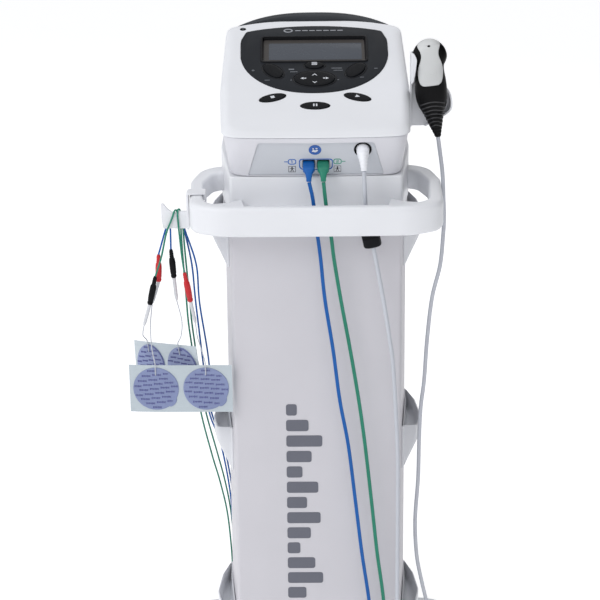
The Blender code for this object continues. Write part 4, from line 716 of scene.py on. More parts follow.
def applicator():
    bm = loft(bmesh.new(), [tool_section(*row) for row in TOOL_ROWS])
    grip = piece("applicator_grip_body", bm, "black", "applicator_grip", body="applicator", smooth=50)
    groove = bmesh.new()
    cover_body(groove, 0.0007, -0.0026, 0.01)
    combine(grip, groove, smooth=40)
    bm = bmesh.new()
    cover_body(bm, 0.0, -0.0018, 0.0008)
    piece("applicator_cover_body", bm, "cover", "applicator_cover", body="applicator", smooth=50)
    bm = bmesh.new()
    crown = [
        (along, half + 0.0006, front + 0.0007, back + 0.0006)
        for along, half, front, back in TOOL_ROWS if along < 0.0075]
    loft(bm, [tool_section(along - 0.0006, half * 0.96, front, back) for along, half, front, back in crown])
    piece("applicator_crown", bm, "cover", body="applicator", smooth=50)
    bm = bmesh.new()
    for k in range(7):
        low = 0.0925 + 0.0064 * k
        reach = (0.0185, 0.0172, 0.0158, 0.014, 0.0122, 0.0104, 0.0088)[k]
        path = []
        for j in range(17):
            across = reach * (-1 + j / 8)
            along = low + 0.005 * (across / reach) ** 2
            if along > 0.1095:
                half = 0.0166 - 0.0016 * (along - 0.1105) / 0.0052
                front = half * 0.9 * max(0.0, 1 - (abs(across) / half) ** 2.1) ** (1 / 2.1)
            else:
                front = grip_front(along, across)
            path.append(tool_point(along, across, front + 0.0002))
        sweep(bm, path, [ellipse(10, 0.00105, 0.00085)] * len(path), side=(0, 0, 1))
    piece("applicator_ribs", bm, "rib", body="applicator", smooth=50)

    rim = [(0.0075 + py, px) for px, py in ellipse(20, 0.0022, 0.0013)]
    lamp = [[tool_point(y, x, grip_front(y, x) + n) for y, x in rim] for n in (0.0002, 0.001)]
    piece("applicator_lamp", loft(bmesh.new(), lamp), "key", body="applicator")
    ridge = bmesh.new()
    for k in range(3):
        path = []
        for j in range(13):
            across = -0.0085 + 0.017 * j / 12
            along = 0.0475 + 0.0042 * k + 0.0016 * (1 - (across / 0.0085) ** 2)
            path.append(tool_point(along, across, grip_front(along, across) + 0.0008))
        sweep(ridge, path, [ellipse(8, 0.00055, 0.00035)] * len(path), side=(0, 0, 1))
    piece("applicator_cover_ridges", ridge, "cover", body="applicator")

    bm = bmesh.new()
    centre = tool_point(0.0275, 0.0, -0.0165)
    lathe(
        bm,
        [
            (0.0012, 0.015), (0.0012, 0.0176), (0.0018, 0.0187), (0.0028, 0.019), (0.006, 0.019),
            (0.0062, 0.0187), (0.0066, 0.0187), (0.0068, 0.019), (0.0102, 0.019), (0.0112, 0.0187),
            (0.0119, 0.0178), (0.0122, 0.016), (0.0123, 0.008), (0.0123, 0.001)],
        centre, (0, 1, 0), 56)
    piece("sound_head_body", bm, "metal", "sound_head", body="applicator", smooth=40)

    bm = bmesh.new()
    sections = []
    for k in range(8):
        along = 0.1105 + 0.0052 * k
        half = 0.0166 - 0.0016 * k
        for step, scale in (
            (0.0, 0.97), (0.0006, 1.0), (0.0026, 0.985), (0.0032, 0.95), (0.0036, 0.86), (0.0048, 0.86)):
            sections.append(tool_section(
                along + step, half * scale, half * 0.9 * scale, half * 0.8 * scale, 2.1, 36))
    sections.append(tool_section(0.1518, 0.0044, 0.004, 0.004, 2.1, 36))
    loft(bm, sections)
    return piece("applicator_boot_body", bm, "black", "applicator_boot", body="applicator", smooth=50)


TOOL_END = applicator()
leads()


def applicator_holder():
    """Cradle on the right flank of the head: side arm, back wall and curled lip."""
    # height, reach of the side arm, right edge, curl of the lip
    rows = smooth_rows(
        [
            (1.066, 0.0, 0.165, 0.0), (1.07, 0.0, 0.172, 0.001), (1.078, 0.0, 0.184, 0.003),
            (1.087, 0.0, 0.196, 0.01), (1.098, 0.0, 0.203, 0.02), (1.11, 0.0, 0.204, 0.021),
            (1.122, 0.0, 0.2, 0.011), (1.135, 0.003, 0.186, 0.001), (1.144, 0.02, 0.164, 0.0),
            (1.155, 0.0272, 0.152, 0.0), (1.163, 0.0275, 0.1508, 0.0), (1.174, 0.0275, 0.15, 0.0),
            (1.182, 0.024, 0.15, 0.0)],
        4)
    back, left = -0.057, 0.145
    bm = bmesh.new()
    grid = []
    for z, arm, right, lip in rows:
        lip = max(0.0, lip)
        right = max(right, left + 0.0037)
        path = [
            Vector((left, back - 0.008 - arm)), Vector((left, back - 0.004 - arm * 0.5)),
            Vector((left, back - 0.003)), Vector((left + 0.0012, back - 0.0008)),
            Vector((left + 0.0035, back))]
        for t in (0.33, 0.66, 1.0):
            path.append(Vector((left + 0.0035 + (right - left - 0.0035) * t, back)))
        path.append(Vector((right + 0.0015, back - 0.0015 - lip * 0.35)))
        path.append(Vector((right + 0.0018, back - 0.003 - lip)))
        grid.append([bm.verts.new((p.x, p.y, z)) for p in path])
    for low, high in zip(grid, grid[1:]):
        for a, b, c, d in zip(low, low[1:], high[1:], high):
            bm.faces.new((a, b, c, d))
    holder = piece("applicator_holder_body", bm, "white", "applicator_holder", smooth=45)
    skin = holder.modifiers.new("wall", "SOLIDIFY")
    skin.thickness, skin.offset = 0.0026, 0.0
    bevelled(holder, 0.0008, 3, 50)
    lobe = rounded(
        [
            (0.1437, 1.141, 0.004), (0.1475, 1.144, 0.01), (0.1508, 1.164, 0.03), (0.1524, 1.179, 0.012),
            (0.148, 1.188, 0.01), (0.1437, 1.19, 0.002)],
        8)
    bm = bmesh.new()
    middle = Vector((0.1472, 1.167))
    loft(bm, [
        [Vector((middle.x + (p.x - middle.x) * s, y, middle.y + (p.y - middle.y) * s)) for p in lobe]
        for y, s in ((-0.0932, 0.94), (-0.0937, 1.0), (-0.0962, 1.0), (-0.0968, 0.95))])
    piece("applicator_holder_prong", bm, "white", smooth=50)


applicator_holder()


# --------------------------------------------------------------------- head
def head_outline(front, rear, wf, wm, wr, inset=0.0, segments=9):
    half = [
        (0.0, front - 0.003 + inset, 0.3), (wf * 0.62 - inset, front - 0.001 + inset, 0.3),
        (wf - inset, front + 0.004 + inset, 0.032 - inset * 0.6), (wm - inset, front * 0.3, 0.25),
        (wr - inset, rear - 0.012 - inset, 0.026 - inset * 0.6), (wr * 0.55, rear - inset, 0.25)]
    full = half + [(-x, y, r) for x, y, r in reversed(half) if x > 0]
    return rounded(full, segments=segments)


def shield_outline(grow=0.0):
    points = []
    top = smooth_rows(
        [
            (-0.1055, 0.1155), (-0.08, 0.1225), (-0.052, 0.1275), (-0.026, 0.1302), (0.0, 0.131),
            (0.026, 0.1302), (0.052, 0.1275), (0.08, 0.1225), (0.1055, 0.1155)],
        3)
    corner = rounded([(0.0, 0.131, 0.0), (0.1055, 0.1155, 0.0065), (0.1135, 0.088, 0.0)], 6)[7:14]
    points += [Vector(p) for p in top if abs(p[0]) < 0.0975]
    right = [p for p in corner] + [Vector((0.1128, 0.092)), Vector((0.1138, 0.08))]
    points += right
    for k in range(2, 58):
        angle = math.pi * k / 60
        c, s = math.cos(angle), math.sin(angle)
        x = 0.1145 * math.copysign(abs(c) ** (2 / 2.2), c)
        points.append(Vector((x, 0.062 - 0.1225 * s ** (2 / 2.2))))
    points += [Vector((-p.x, p.y)) for p in reversed(right)]
    centre = Vector((0.0, 0.04))
    return [p + (p - centre).normalized() * grow for p in points]


# across, up the slope, half length, half height, turn in degrees
KEYS = {
    "stop_button": (-0.0638, -0.073, 0.0215, 0.0098, 21.5),
    "start_button": (0.0638, -0.073, 0.0215, 0.0098, -21.5),
    "pause_button": (0.0, -0.0955, 0.0223, 0.01, 0.0), "menu_button": (0.0, 0.0145, 0.014, 0.009, 0.0),
    "arrow_pad": (0.0, -0.023, 0.0305, 0.0205, 0.0), "left_key": (-0.0632, 0.0, 0.0212, 0.0112, -59.0),
    "right_key": (0.0632, 0.0, 0.0212, 0.0112, 59.0)}
WINDOW = oblong(-0.08, 0.0275, 0.08, 0.097, 0.005)
THROUGH = (-0.012, 0.03)
KEY_CLEARANCE = 0.0006
POWER_LAMP = (-0.1108, 0.1247)
SHIELD_KEYS = ("menu_button", "arrow_pad", "left_key", "right_key")


def key_outline(name, scale=1.0, grow=0.0, count=48):
    x, v, a, b, turn = KEYS[name]
    return [
        (x + px, v + pv) for px, pv in ellipse(count, a * scale + grow, b * scale + grow, math.radians(turn))]


def lamp_outline(count, a, b, scale=1.0):
    return [(POWER_LAMP[0] + px * scale, POWER_LAMP[1] + pv * scale) for px, pv in ellipse(count, a, b)]


def key_top(name):
    return 0.003 if name in SHIELD_KEYS else 0.0014


def key(name):
    """Oval push key with a softly crowned top."""
    top = key_top(name)
    levels = [
        (-0.007, 1.0, 0.0018), (-0.0046, 1.0, 0.0018), (-0.0046, 1.0, 0.0), (top - 0.0012, 1.0, 0.0),
        (top - 0.0007, 0.985, 0.0), (top - 0.0003, 0.95, 0.0), (top - 0.0001, 0.88, 0.0), (top, 0.76, 0.0),
        (top + 0.0001, 0.4, 0.0)]
    bm = loft(bmesh.new(), [
        [face_point(px, pv, n) for px, pv in key_outline(name, scale, grow)] for n, scale, grow in levels])
    body = "key_" + name
    piece(name + "_cap", bm, "key", name, body=body, smooth=40)


def marks(name, shapes, mat, n, body="cart", place=face_point):
    """Flat printed or moulded marks, each a closed outline."""
    bm = bmesh.new()
    for shape in shapes:
        prism(bm, shape, place, n - PRINT_ROOT, n + PRINT_HEIGHT)
    piece(name, bm, mat, body=body)


def turned(points, x, v, angle):
    """Symbol set on a slanting key, a little above its middle."""
    c, s = math.cos(math.radians(angle)), math.sin(math.radians(angle))
    return [(x + px * c - pv * s, v + 0.0004 + px * s + pv * c) for px, pv in points]


def bar(x0, v0, x1, v1):
    return [(x0, v0), (x1, v0), (x1, v1), (x0, v1)]


def ring_piece(name, x, v, a, b, t, mat, n, place=face_point, power=2.0):
    """Printed ring as one closed band."""
    bm = bmesh.new()
    rows = (
        (a, b, -PRINT_ROOT), (a, b, PRINT_HEIGHT), (a - t, b - t, PRINT_HEIGHT), (a - t, b - t, -PRINT_ROOT))
    loft(
        bm,
        [[place(x + px, v + py, n + h) for px, py in ellipse(48, aa, bb, 0.0, power)] for aa, bb, h in rows],
        close=True)
    piece(name, bm, mat)


def upper_shell():
    bm = bmesh.new()
    sections = []
    steps = [(0.0, 0.0, None), (0.0, 0.013, 0.85)]
    for k in range(1, 9):
        angle = math.pi / 2 * k / 8
        steps.append((
            0.015 * (1 - math.cos(angle)), 0.013 * (1 - math.sin(angle)), 0.85 * (1 - math.sin(angle)) ** 0.8
        ))
    for inset, drop, share in steps:
        ring = []
        for p in head_outline(-0.187, 0.121, 0.1395, 0.144, 0.1365, inset):
            if share is None:
                lean = 0.012 * max(0.0, min(1.0, p.y / 0.121)) if p.y > 0 else 0.0
                taper = 1 - 0.03 * max(0.0, min(1.0, -p.y / 0.187))
                ring.append(Vector((p.x * taper, p.y - lean, SEAM_Z + GAP)))
                continue
            rise = face_z(p.y) - SEAM_Z
            crisp = max(0.0, min(1.0, (p.y - 0.05) / 0.05))
            crown = 0.0045 * max(0.0, 1 - (p.x / 0.115) ** 2) * max(0.0, min(1.0, (p.y - 0.105) / 0.01))
            ring.append(Vector((
                p.x, p.y + crown, face_z(p.y + crown) - min(drop, rise * share) * (1 - 0.78 * crisp))))
        sections.append(ring)
    sections.reverse()
    inner = head_outline(-0.163, 0.114, 0.134, 0.1385, 0.129, 0.004)
    sections.append([Vector((p.x, p.y - (0.008 if p.y > 0.09 else 0.0), SEAM_Z + GAP)) for p in inner])
    sections.append([Vector((p.x, p.y, face_z(p.y) - 0.004 / math.cos(FACE_TILT))) for p in inner])
    loft(bm, sections)
    shell = piece("head_upper_shell_body", bm, "white", "head_upper_shell", smooth=40)
    pocket = prism(bmesh.new(), shield_outline(0.0006), face_point, -0.0016, 0.02)
    combine(shell, pocket)
    holes = bmesh.new()
    for name in KEYS:
        prism(holes, key_outline(name, 1.0, KEY_CLEARANCE), face_point, *THROUGH)
    prism(holes, WINDOW, face_point, *THROUGH)
    prism(holes, lamp_outline(32, 0.005, 0.0042), face_point, -0.0016, 0.03)
    combine(shell, holes, smooth=40)


def fascia():
    bm = bmesh.new()
    edge, rim, body = shield_outline(-0.0009), shield_outline(-0.0003), shield_outline(0.0)
    loft(bm, [
        [face_point(p.x, p.y, -0.0013) for p in body], [face_point(p.x, p.y, 0.0006) for p in body],
        [face_point(p.x, p.y, 0.001) for p in rim], [face_point(p.x, p.y, 0.0011) for p in edge]])
    plate = piece("control_fascia_body", bm, "fascia", "control_fascia", smooth=40)
    holes = bmesh.new()
    for name in SHIELD_KEYS:
        prism(holes, key_outline(name, 1.0, KEY_CLEARANCE), face_point, *THROUGH)
    prism(holes, WINDOW, face_point, *THROUGH)
    combine(plate, holes, smooth=40)
    for name in SHIELD_KEYS:
        bm = bmesh.new()
        levels = [(1.0, 0.0012, 0.0009), (1.0, 0.002, 0.0015), (1.0, 0.003, 0.0016), (1.0, 0.004, 0.0009)]
        loft(
            bm, [[face_point(px, pv, n) for px, pv in key_outline(name, s, g)] for s, g, n in levels],
            close=True)
        piece(name + "_surround", bm, "bezel")


def display():
    """Raised frame, sloping recess walls, dark border and the tinted screen."""
    rows = [
        (oblong(-0.083, 0.024, 0.083, 0.1, 0.007), 0.001),
        (oblong(-0.0826, 0.0244, 0.0826, 0.0996, 0.007), 0.0024),
        (oblong(-0.0816, 0.0254, 0.0816, 0.0986, 0.006), 0.0028),
        (oblong(-0.08, 0.027, 0.08, 0.097, 0.005), 0.0024),
        (oblong(-0.0796, 0.0276, 0.0796, 0.0966, 0.005), 0.0004),
        (oblong(-0.0782, 0.0288, 0.0782, 0.0956, 0.004), -0.0022),
        (oblong(-0.0782, 0.0288, 0.0782, 0.0956, 0.004), -0.0036),
        (oblong(-0.0798, 0.0274, 0.0798, 0.0968, 0.005), -0.0036)]
    bm = loft(
        bmesh.new(), [[face_point(p.x, p.y, n) for p in ring] for ring, n in rows], close=False, caps=False)
    piece("display_frame", bm, "bezel", smooth=40)
    bm = prism(bmesh.new(), oblong(-0.079, 0.0278, 0.079, 0.0968, 0.004), face_point, -0.0095, -0.0028)
    piece("display_border", bm, "brown", "display_window")
    bm = bmesh.new()
    glass = oblong(-0.07, 0.0374, 0.0736, 0.0854, 0.0012)
    inner = oblong(-0.0694, 0.038, 0.073, 0.0848, 0.001)
    loft(bm, [[face_point(p.x, p.y, -0.003) for p in glass], [face_point(p.x, p.y, -0.0025) for p in glass], [
        face_point(p.x, p.y, -0.0023) for p in inner]])
    piece("display_screen", bm, "lcd")


def face_marks():
    """Plain symbols in place of any lettering: stop square, pause bars, start triangle, arrows, ticks."""
    square, triangle = bar(-0.003, -0.003, 0.003, 0.003), [
        (-0.0028, -0.0036), (0.004, 0.0), (-0.0028, 0.0036)]
    pause, menu = KEYS["pause_button"][1], KEYS["menu_button"][1]
    symbols = {
        "stop": [turned(square, *KEYS["stop_button"][:2], KEYS["stop_button"][4])],
        "start": [turned(triangle, *KEYS["start_button"][:2], KEYS["start_button"][4])],
        "pause": [bar(x, pause - 0.0032, x + 0.0022, pause + 0.0036) for x in (-0.0032, 0.001)],
        "menu": [bar(-0.0042, menu + 0.0052 - 0.003 * k, 0.0042, menu + 0.0068 - 0.003 * k) for k in range(3)]
    }
    for name, shapes in symbols.items():
        marks(name + "_symbol", shapes, "print_white", key_top(name + "_button"), body="key_%s_button" % name)
    v = KEYS["arrow_pad"][1]
    arrows = [
        [
            (-0.0042, v + 0.0068), (0.0, v + 0.012), (0.0042, v + 0.0068), (0.0026, v + 0.0068),
            (0.0, v + 0.0098), (-0.0026, v + 0.0068)],
        [
            (-0.0036, v - 0.01), (-0.0022, v - 0.01), (0.0, v - 0.0126), (0.0022, v - 0.01),
            (0.0036, v - 0.01), (0.0, v - 0.0148)],
        [(-0.0215, v - 0.001), (-0.0168, v + 0.002), (-0.0168, v - 0.004)],
        bar(-0.016, v - 0.0022, -0.0128, v + 0.0002),
        [(0.0215, v - 0.001), (0.0168, v - 0.004), (0.0168, v + 0.002)],
        bar(0.0128, v - 0.0022, 0.016, v + 0.0002)]
    marks("pad_arrows", arrows, "print_white", key_top("arrow_pad"), body="key_arrow_pad")
    ticks = [
        bar(-0.096, 0.0015, -0.0915, 0.003), bar(-0.0945, 0.0, -0.093, 0.0045),
        bar(0.0915, 0.0045, 0.0965, 0.006), bar(-0.076, -0.026, -0.068, -0.0248),
        bar(0.069, -0.02, 0.075, -0.0188), bar(-0.0395, 0.003, -0.031, 0.006),
        bar(-0.037, -0.0035, -0.026, -0.002), bar(0.026, 0.006, 0.042, 0.0075),
        bar(0.029, 0.0, 0.043, 0.0012), bar(-0.037, -0.0265, -0.0345, -0.0252),
        bar(0.0345, -0.0265, 0.037, -0.0252)]
    marks("fascia_ticks", ticks, "print_grey", 0.0011)
    ring_piece("fascia_emblem", -0.04, 0.117, 0.0072, 0.0054, 0.0022, "print_dim", 0.0011)
    marks(
        "fascia_line", [bar(-0.029 + 0.011 * k, 0.1158, -0.0205 + 0.011 * k, 0.118) for k in range(7)],
        "print_dim", 0.0011)
    bm = bmesh.new()
    loft(bm, [
        [face_point(px, pv, n) for px, pv in lamp_outline(32, 0.0048, 0.004, s)]
        for n, s in ((-0.0014, 1.0), (0.0002, 1.0), (0.0006, 0.9), (0.0007, 0.6))])
    piece("power_lamp", bm, "key")
    bm = prism(bmesh.new(), lamp_outline(20, 0.0016, 0.0012), face_point, 0.0005, 0.0009)
    piece("power_lamp_lens", bm, "print_grey")


def lower_shell():
    bm = bmesh.new()

    def plan(share, inset):
        front = -0.166 - 0.021 * share
        side = 0.1275 + 0.012 * share
        return head_outline(
            front, 0.104 + 0.004 * share, side - 0.004 * share, side + 0.003 + 0.0015 * share,
            side - 0.003 - 0.003 * share, inset)

    top = SEAM_Z - GAP
    loft(bm, [
        level(plan(0.02, WALL), HEAD_BOTTOM + WALL), level(plan(1.0, WALL), top),
        level(plan(1.0, 0.001), top), level(plan(0.985, 0.0004), top - 0.0004),
        level(plan(0.97, 0.0), top - 0.0012), level(plan(0.045, 0.0), HEAD_BOTTOM + 0.003),
        level(plan(0.02, 0.0004), HEAD_BOTTOM + 0.0016), level(plan(0.01, 0.0012), HEAD_BOTTOM + 0.0006),
        level(plan(0.0, 0.0028), HEAD_BOTTOM)])
    shell = piece("head_lower_shell_body", bm, "tub", "head_lower_shell", smooth=40)
    opening = bmesh.new()
    outline = [(p.x, p.y) for p in socket_plate_outline(0.0005)]
    loft(opening, [[panel_point(x, w, n) for x, w in outline] for n in (-0.0075, 0.006)])
    combine(shell, opening)
    rear = bmesh.new()
    box(rear, (0.04, 0.085, 1.0365), (0.085, 0.125, 1.066))
    box(rear, (0.0, 0.085, 1.0385), (0.024, 0.125, 1.064))
    for row in range(3):
        for k in range(9):
            box(rear, (-0.098 + 0.0105 * k, 0.09, 1.037 + 0.01 * row), (
                -0.0915 + 0.0105 * k, 0.125, 1.041 + 0.01 * row))
    combine(shell, rear)
    # A dark grey ring set in the gap between the shells paints the seam's shadow line; it stands in for
    # shade, not a real gasket.
    seam = loft(
        bmesh.new(),
        [
            level(plan(0.985, 0.0014), SEAM_Z - 0.0008), level(plan(0.985, 0.0014), SEAM_Z + 0.0008),
            level(plan(0.985, 0.0032), SEAM_Z + 0.0008), level(plan(0.985, 0.0032), SEAM_Z - 0.0008)],
        close=True)
    piece("head_seam_painted_shadow", seam, "print_grey")


def box(bm, low, high):
    x0, y0, z0 = low
    x1, y1, z1 = high
    ring = [(x0, y0), (x1, y0), (x1, y1), (x0, y1)]
    loft(bm, [[Vector((x, y, z)) for x, y in ring] for z in (z0, z1)])
    return bm


def socket_plate_outline(grow=0.0):
    return rounded(
        [
            (-0.1005 - grow, -0.0318 - grow, 0.003), (0.1005 + grow, -0.0318 - grow, 0.003),
            (0.085 + grow, 0.0262 + grow, 0.006), (-0.085 - grow, 0.0262 + grow, 0.006)],
        7)


def twin_socket_outline(grow):
    low, high = SOCKET_W - 0.0098 - grow, SOCKET_W + 0.0098 + grow
    side = 0.025 + grow
    return rounded([(-side, low, 0.008), (side, low, 0.008), (side, high, 0.005), (-side, high, 0.005)], 6)


def connector_panel():
    bm = bmesh.new()
    outline = [(p.x, p.y) for p in socket_plate_outline(0.0)]
    loft(bm, [[panel_point(x, w, n) for x, w in outline] for n in (-0.0065, -0.0018)])
    plate = piece("connector_panel_body", bm, "panel", "connector_panel", smooth=40)
    holes = bmesh.new()
    for x in SOCKETS.values():
        outline = oblong(x - 0.0094, SOCKET_W - 0.0068, x + 0.0094, SOCKET_W + 0.0078, 0.002, 4)
        loft(holes, [[panel_point(p.x, p.y, n) for p in outline] for n in (-0.012, 0.004)])
    out = panel_point(0, 0, 1) - panel_point(0, 0, 0)
    x, w = TOOL_SOCKET
    lathe(holes, [(0.0, 0.0112), (0.018, 0.0112)], panel_point(x, w, -0.012), out, 48)
    combine(plate, holes, smooth=40)

    bm = bmesh.new()
    rows = [
        (0.0, -0.002), (0.0, -0.0011), (-0.0003, -0.0008), (-0.0008, -0.0008), (-0.0011, -0.0011),
        (-0.0011, -0.002)]
    loft(bm, [[panel_point(p.x, p.y, n) for p in twin_socket_outline(g)] for g, n in rows], close=True)
    piece("twin_socket_rim", bm, "print_blue")
    for name, x in SOCKETS.items():
        bm = bmesh.new()
        outline = oblong(x - 0.0094, SOCKET_W - 0.0068, x + 0.0094, SOCKET_W + 0.0078, 0.002, 4)
        rows = [
            (1.0, -0.0028), (1.0, -0.0014), (0.97, -0.0012), (0.93, -0.0014), (0.93, -0.011), (1.0, -0.011)]
        middle = Vector((x, SOCKET_W + 0.0005))
        loft(
            bm, [[panel_point(*(middle + (p - middle) * s), n) for p in outline] for s, n in rows], close=True
        )
        piece(name + "_socket_liner", bm, "key")
    bm = lathe(
        bmesh.new(),
        [
            (0.0, 0.0108), (0.0, 0.013), (0.0036, 0.0132), (0.0044, 0.013), (0.0048, 0.0124),
            (0.0048, 0.0112), (0.0044, 0.0106), (0.0, 0.0104)],
        panel_point(*TOOL_SOCKET, -0.005), out, 56, close=True)
    piece("applicator_socket_ring", bm, "key", smooth=40)
    bm = lathe(
        bmesh.new(), [(0.0, 0.0133), (0.0008, 0.0138), (0.0012, 0.0136), (0.0012, 0.013), (0.0, 0.0129)],
        panel_point(*TOOL_SOCKET, -0.0021), out, 56, close=True)
    piece("applicator_socket_trim", bm, "panel", smooth=40)

    # printed marks: round badge with a plain motif, channel numbers, applied-part boxes
    bm = prism(
        bmesh.new(), [(-0.0013 + px, 0.0121 + pw) for px, pw in ellipse(40, 0.0094, 0.0087)], panel_point,
        -0.002, -0.0015)
    piece("badge_disc", bm, "badge")
    ring_piece("badge_ring", -0.0013, 0.0121, 0.008, 0.0073, 0.0008, "print_blue", -0.0015, panel_point)
    motif = [
        [(-0.0013 + px, 0.0121 + pw) for px, pw in shape]
        for shape in (
            [(a - 0.0028, b + 0.0022) for a, b in ellipse(14, 0.0012, 0.0012)],
            [
                (-0.0048, -0.003), (-0.0028, 0.0006), (0.0004, -0.0008), (0.003, 0.0006), (0.0046, -0.0012),
                (0.001, -0.004)],
            [(a + 0.0022, b + 0.0026) for a, b in ellipse(14, 0.0016, 0.0009)])]
    marks("badge_motif", motif, "print_white", -0.0014, place=panel_point)
    for name, x, mat, sign in (("one", -0.0354, "print_blue", -1), ("two", 0.0319, "print_green", 1)):
        ring_piece("channel_ring_" + name, x, -0.009, 0.0062, 0.005, 0.0013, mat, -0.0018, panel_point, 3.0)
        near, far = sorted((x + sign * 0.0064, x + sign * 0.0118))
        shapes = [bar(near, -0.0096, far, -0.0084)]
        if name == "one":
            shapes.append(bar(x - 0.0006, -0.0116, x + 0.0006, -0.0064))
            shapes.append([(x - 0.0018, -0.0074), (x - 0.0006, -0.0064), (x - 0.0006, -0.0078)])
        else:
            shapes += [
                bar(x - 0.0017, -0.0072, x + 0.0017, -0.0063), bar(x + 0.0008, -0.009, x + 0.0017, -0.0072),
                bar(x - 0.0017, -0.0096, x + 0.0017, -0.0087), bar(x - 0.0017, -0.0112, x - 0.0008, -0.0096),
                bar(x - 0.0017, -0.0119, x + 0.0017, -0.011)]
        marks("channel_mark_" + name, shapes, mat, -0.0018, place=panel_point)
        cx, cw, h, t = x, -0.0222, 0.0054, 0.0006
        frame_bars = [
            bar(cx - h, cw - h, cx + h, cw - h + t), bar(cx - h, cw + h - t, cx + h, cw + h),
            bar(cx - h, cw - h, cx - h + t, cw + h), bar(cx + h - t, cw - h, cx + h, cw + h)]
        figure = [
            [(cx + a, cw + 0.003 + b) for a, b in ellipse(14, 0.0011, 0.0011)],
            bar(cx - 0.001, cw - 0.0008, cx + 0.001, cw + 0.0018),
            bar(cx - 0.0034, cw + 0.0006, cx + 0.0034, cw + 0.0014),
            [
                (cx - 0.001, cw - 0.0006), (cx, cw - 0.0006), (cx - 0.0014, cw - 0.0042),
                (cx - 0.0026, cw - 0.0042)],
            [
                (cx + 0.001, cw - 0.0006), (cx, cw - 0.0006), (cx + 0.0014, cw - 0.0042),
                (cx + 0.0026, cw - 0.0042)]]
        marks("applied_part_mark_" + name, frame_bars + figure, "print_black", -0.0018, place=panel_point)


def rear_fittings():
    refined("mains_inlet", "key", width=0.0004)
    refined("power_switch", "key", body="rocker", width=0.0005)
    refined("power_supply", "steel", width=0.0004)
    refined("circuit_board", "board", width=0.0)
    screws(
        "rear_screws",
        [(x, 0.1045 + 0.0575 * (z - 1.034), z) for x in (-0.108, 0.108) for z in (1.034, 1.075)], (0, 1, 0),
        [
            (0.0, 0.0034), (0.0008, 0.0034), (0.0014, 0.0028), (0.0015, 0.0016), (0.0009, 0.0015),
            (0.0009, 0.0002)])


def carry_handle():
    bm = bmesh.new()
    path, outlines = [], []
    for k in range(65):
        t = -1 + 2 * k / 64
        bow = 1 - abs(t) ** 2.6
        path.append(Vector((0.123 * t, 0.118 + 0.027 * bow, 1.1688 + 0.0122 * bow)))
        outlines.append(ellipse(36, 0.005 + 0.003 * bow, 0.007 + 0.005 * bow, 0.0, 2.8))
    sweep(bm, path, outlines, side=(0, 1, 0))
    piece("carry_handle_body", bm, "handle", "carry_handle", smooth=50)


upper_shell()
fascia()
display()
for key_name in KEYS:
    key(key_name)
face_marks()
lower_shell()
connector_panel()
rear_fittings()
carry_handle()


# --------------------------------------------------------------------- cart
COLUMN_TOP = 0.9455
COLUMN_FRONT_Y = -0.157
COLUMN_REAR_Y = 0.1
DECK_BOTTOM = 0.946
DECK_TOP = 1.0208
RING_TOP = 0.991
HOOP_RISE = 0.014
BASE_TOP = TRAY - 0.0003


def column_side(y):
    return 0.13 + 0.012 * max(0.0, min(1.0, (y - COLUMN_FRONT_Y) / 0.16))


def column():
    top, foot = COLUMN_TOP, BASE_TOP + GAP
    half = [
        (0.0, COLUMN_FRONT_Y - 0.003, 0.3), (0.085, COLUMN_FRONT_Y - 0.002, 0.3),
        (0.1285, COLUMN_FRONT_Y + 0.001, 0.006), (0.1295, COLUMN_FRONT_Y + 0.013, 0.001)]
    inner = [
        (0.1265, COLUMN_FRONT_Y + 0.013, 0.001), (0.125, COLUMN_FRONT_Y + 0.0045, 0.004),
        (0.08, COLUMN_FRONT_Y + 0.001, 0.3), (0.0, COLUMN_FRONT_Y, 0.3)]
    ring = half + inner
    full = ring[1:-1]
    section = rounded([half[0]] + full + [inner[-1]] + [(-x, y, r) for x, y, r in reversed(full)], 8)
    bm = loft(bmesh.new(), [level(section, foot), level(section, top)])
    piece("column_front_panel", bm, "column", "column_front", smooth=40)

    y0 = COLUMN_FRONT_Y + 0.013 + GAP
    outer = [
        (0.13, y0, 0.001), (0.142, 0.0, 0.1), (0.14, COLUMN_REAR_Y, 0.03), (0.0, COLUMN_REAR_Y + 0.006, 0.3)]
    inside = [
        (0.0, COLUMN_REAR_Y + 0.003, 0.3), (0.137, COLUMN_REAR_Y - 0.003, 0.027), (0.139, 0.0, 0.1),
        (0.127, y0, 0.001)]
    left = [(-x, y, r) for x, y, r in reversed(outer[:-1])]
    left_in = [(-x, y, r) for x, y, r in reversed(inside[1:])]
    section = rounded(outer[:-1] + [outer[-1]] + left + left_in + [inside[0]] + inside[1:], 9)
    bm = loft(bmesh.new(), [level(section, foot), level(section, top)])
    shell = piece("column_rear_shell", bm, "column", "column_rear", smooth=40)
    slots = bmesh.new()
    for z in (0.2, 0.86):
        for k in range(7):
            box(slots, (-0.045 + 0.0135 * k, 0.085, z), (-0.0385 + 0.0135 * k, 0.115, z + 0.03))
    combine(shell, slots)
    screws(
        "column_screws",
        [(x, COLUMN_REAR_Y + 0.0012, z) for x in (-0.112, 0.112) for z in (0.14, 0.52, 0.91)], (0, 1, 0),
        [
            (-0.001, 0.004), (0.0006, 0.004), (0.0014, 0.0034), (0.0016, 0.0018), (0.001, 0.0016),
            (0.001, 0.0002)])


def column_graphic():
    """Tall abstract waveform printed on the front of the column in place of any lettering."""
    def front(x, z, n):
        return Vector((x, COLUMN_FRONT_Y - 0.0031 + 0.001 * max(0.0, (abs(x) - 0.02) / 0.065) - n, z))
    heights = (
        0.3, 0.62, 1.0, 0.7, 0.44, 0.88, 0.56, 0.94, 0.66, 0.36, 0.78, 1.0, 0.52, 0.3, 0.6, 0.4, 0.82, 0.58)
    bm = bmesh.new()
    left, z = -0.049, 0.64
    for share in heights:
        outline = oblong(left, z - 0.0095, left + 0.056 * share, z + 0.0095, 0.0045)
        loft(bm, [[front(p.x, p.y, n) for p in outline] for n in (-0.0004, 0.00025)])
        z -= 0.0265
        if z < 0.14:
            break
    piece("column_graphic", bm, "graphic")


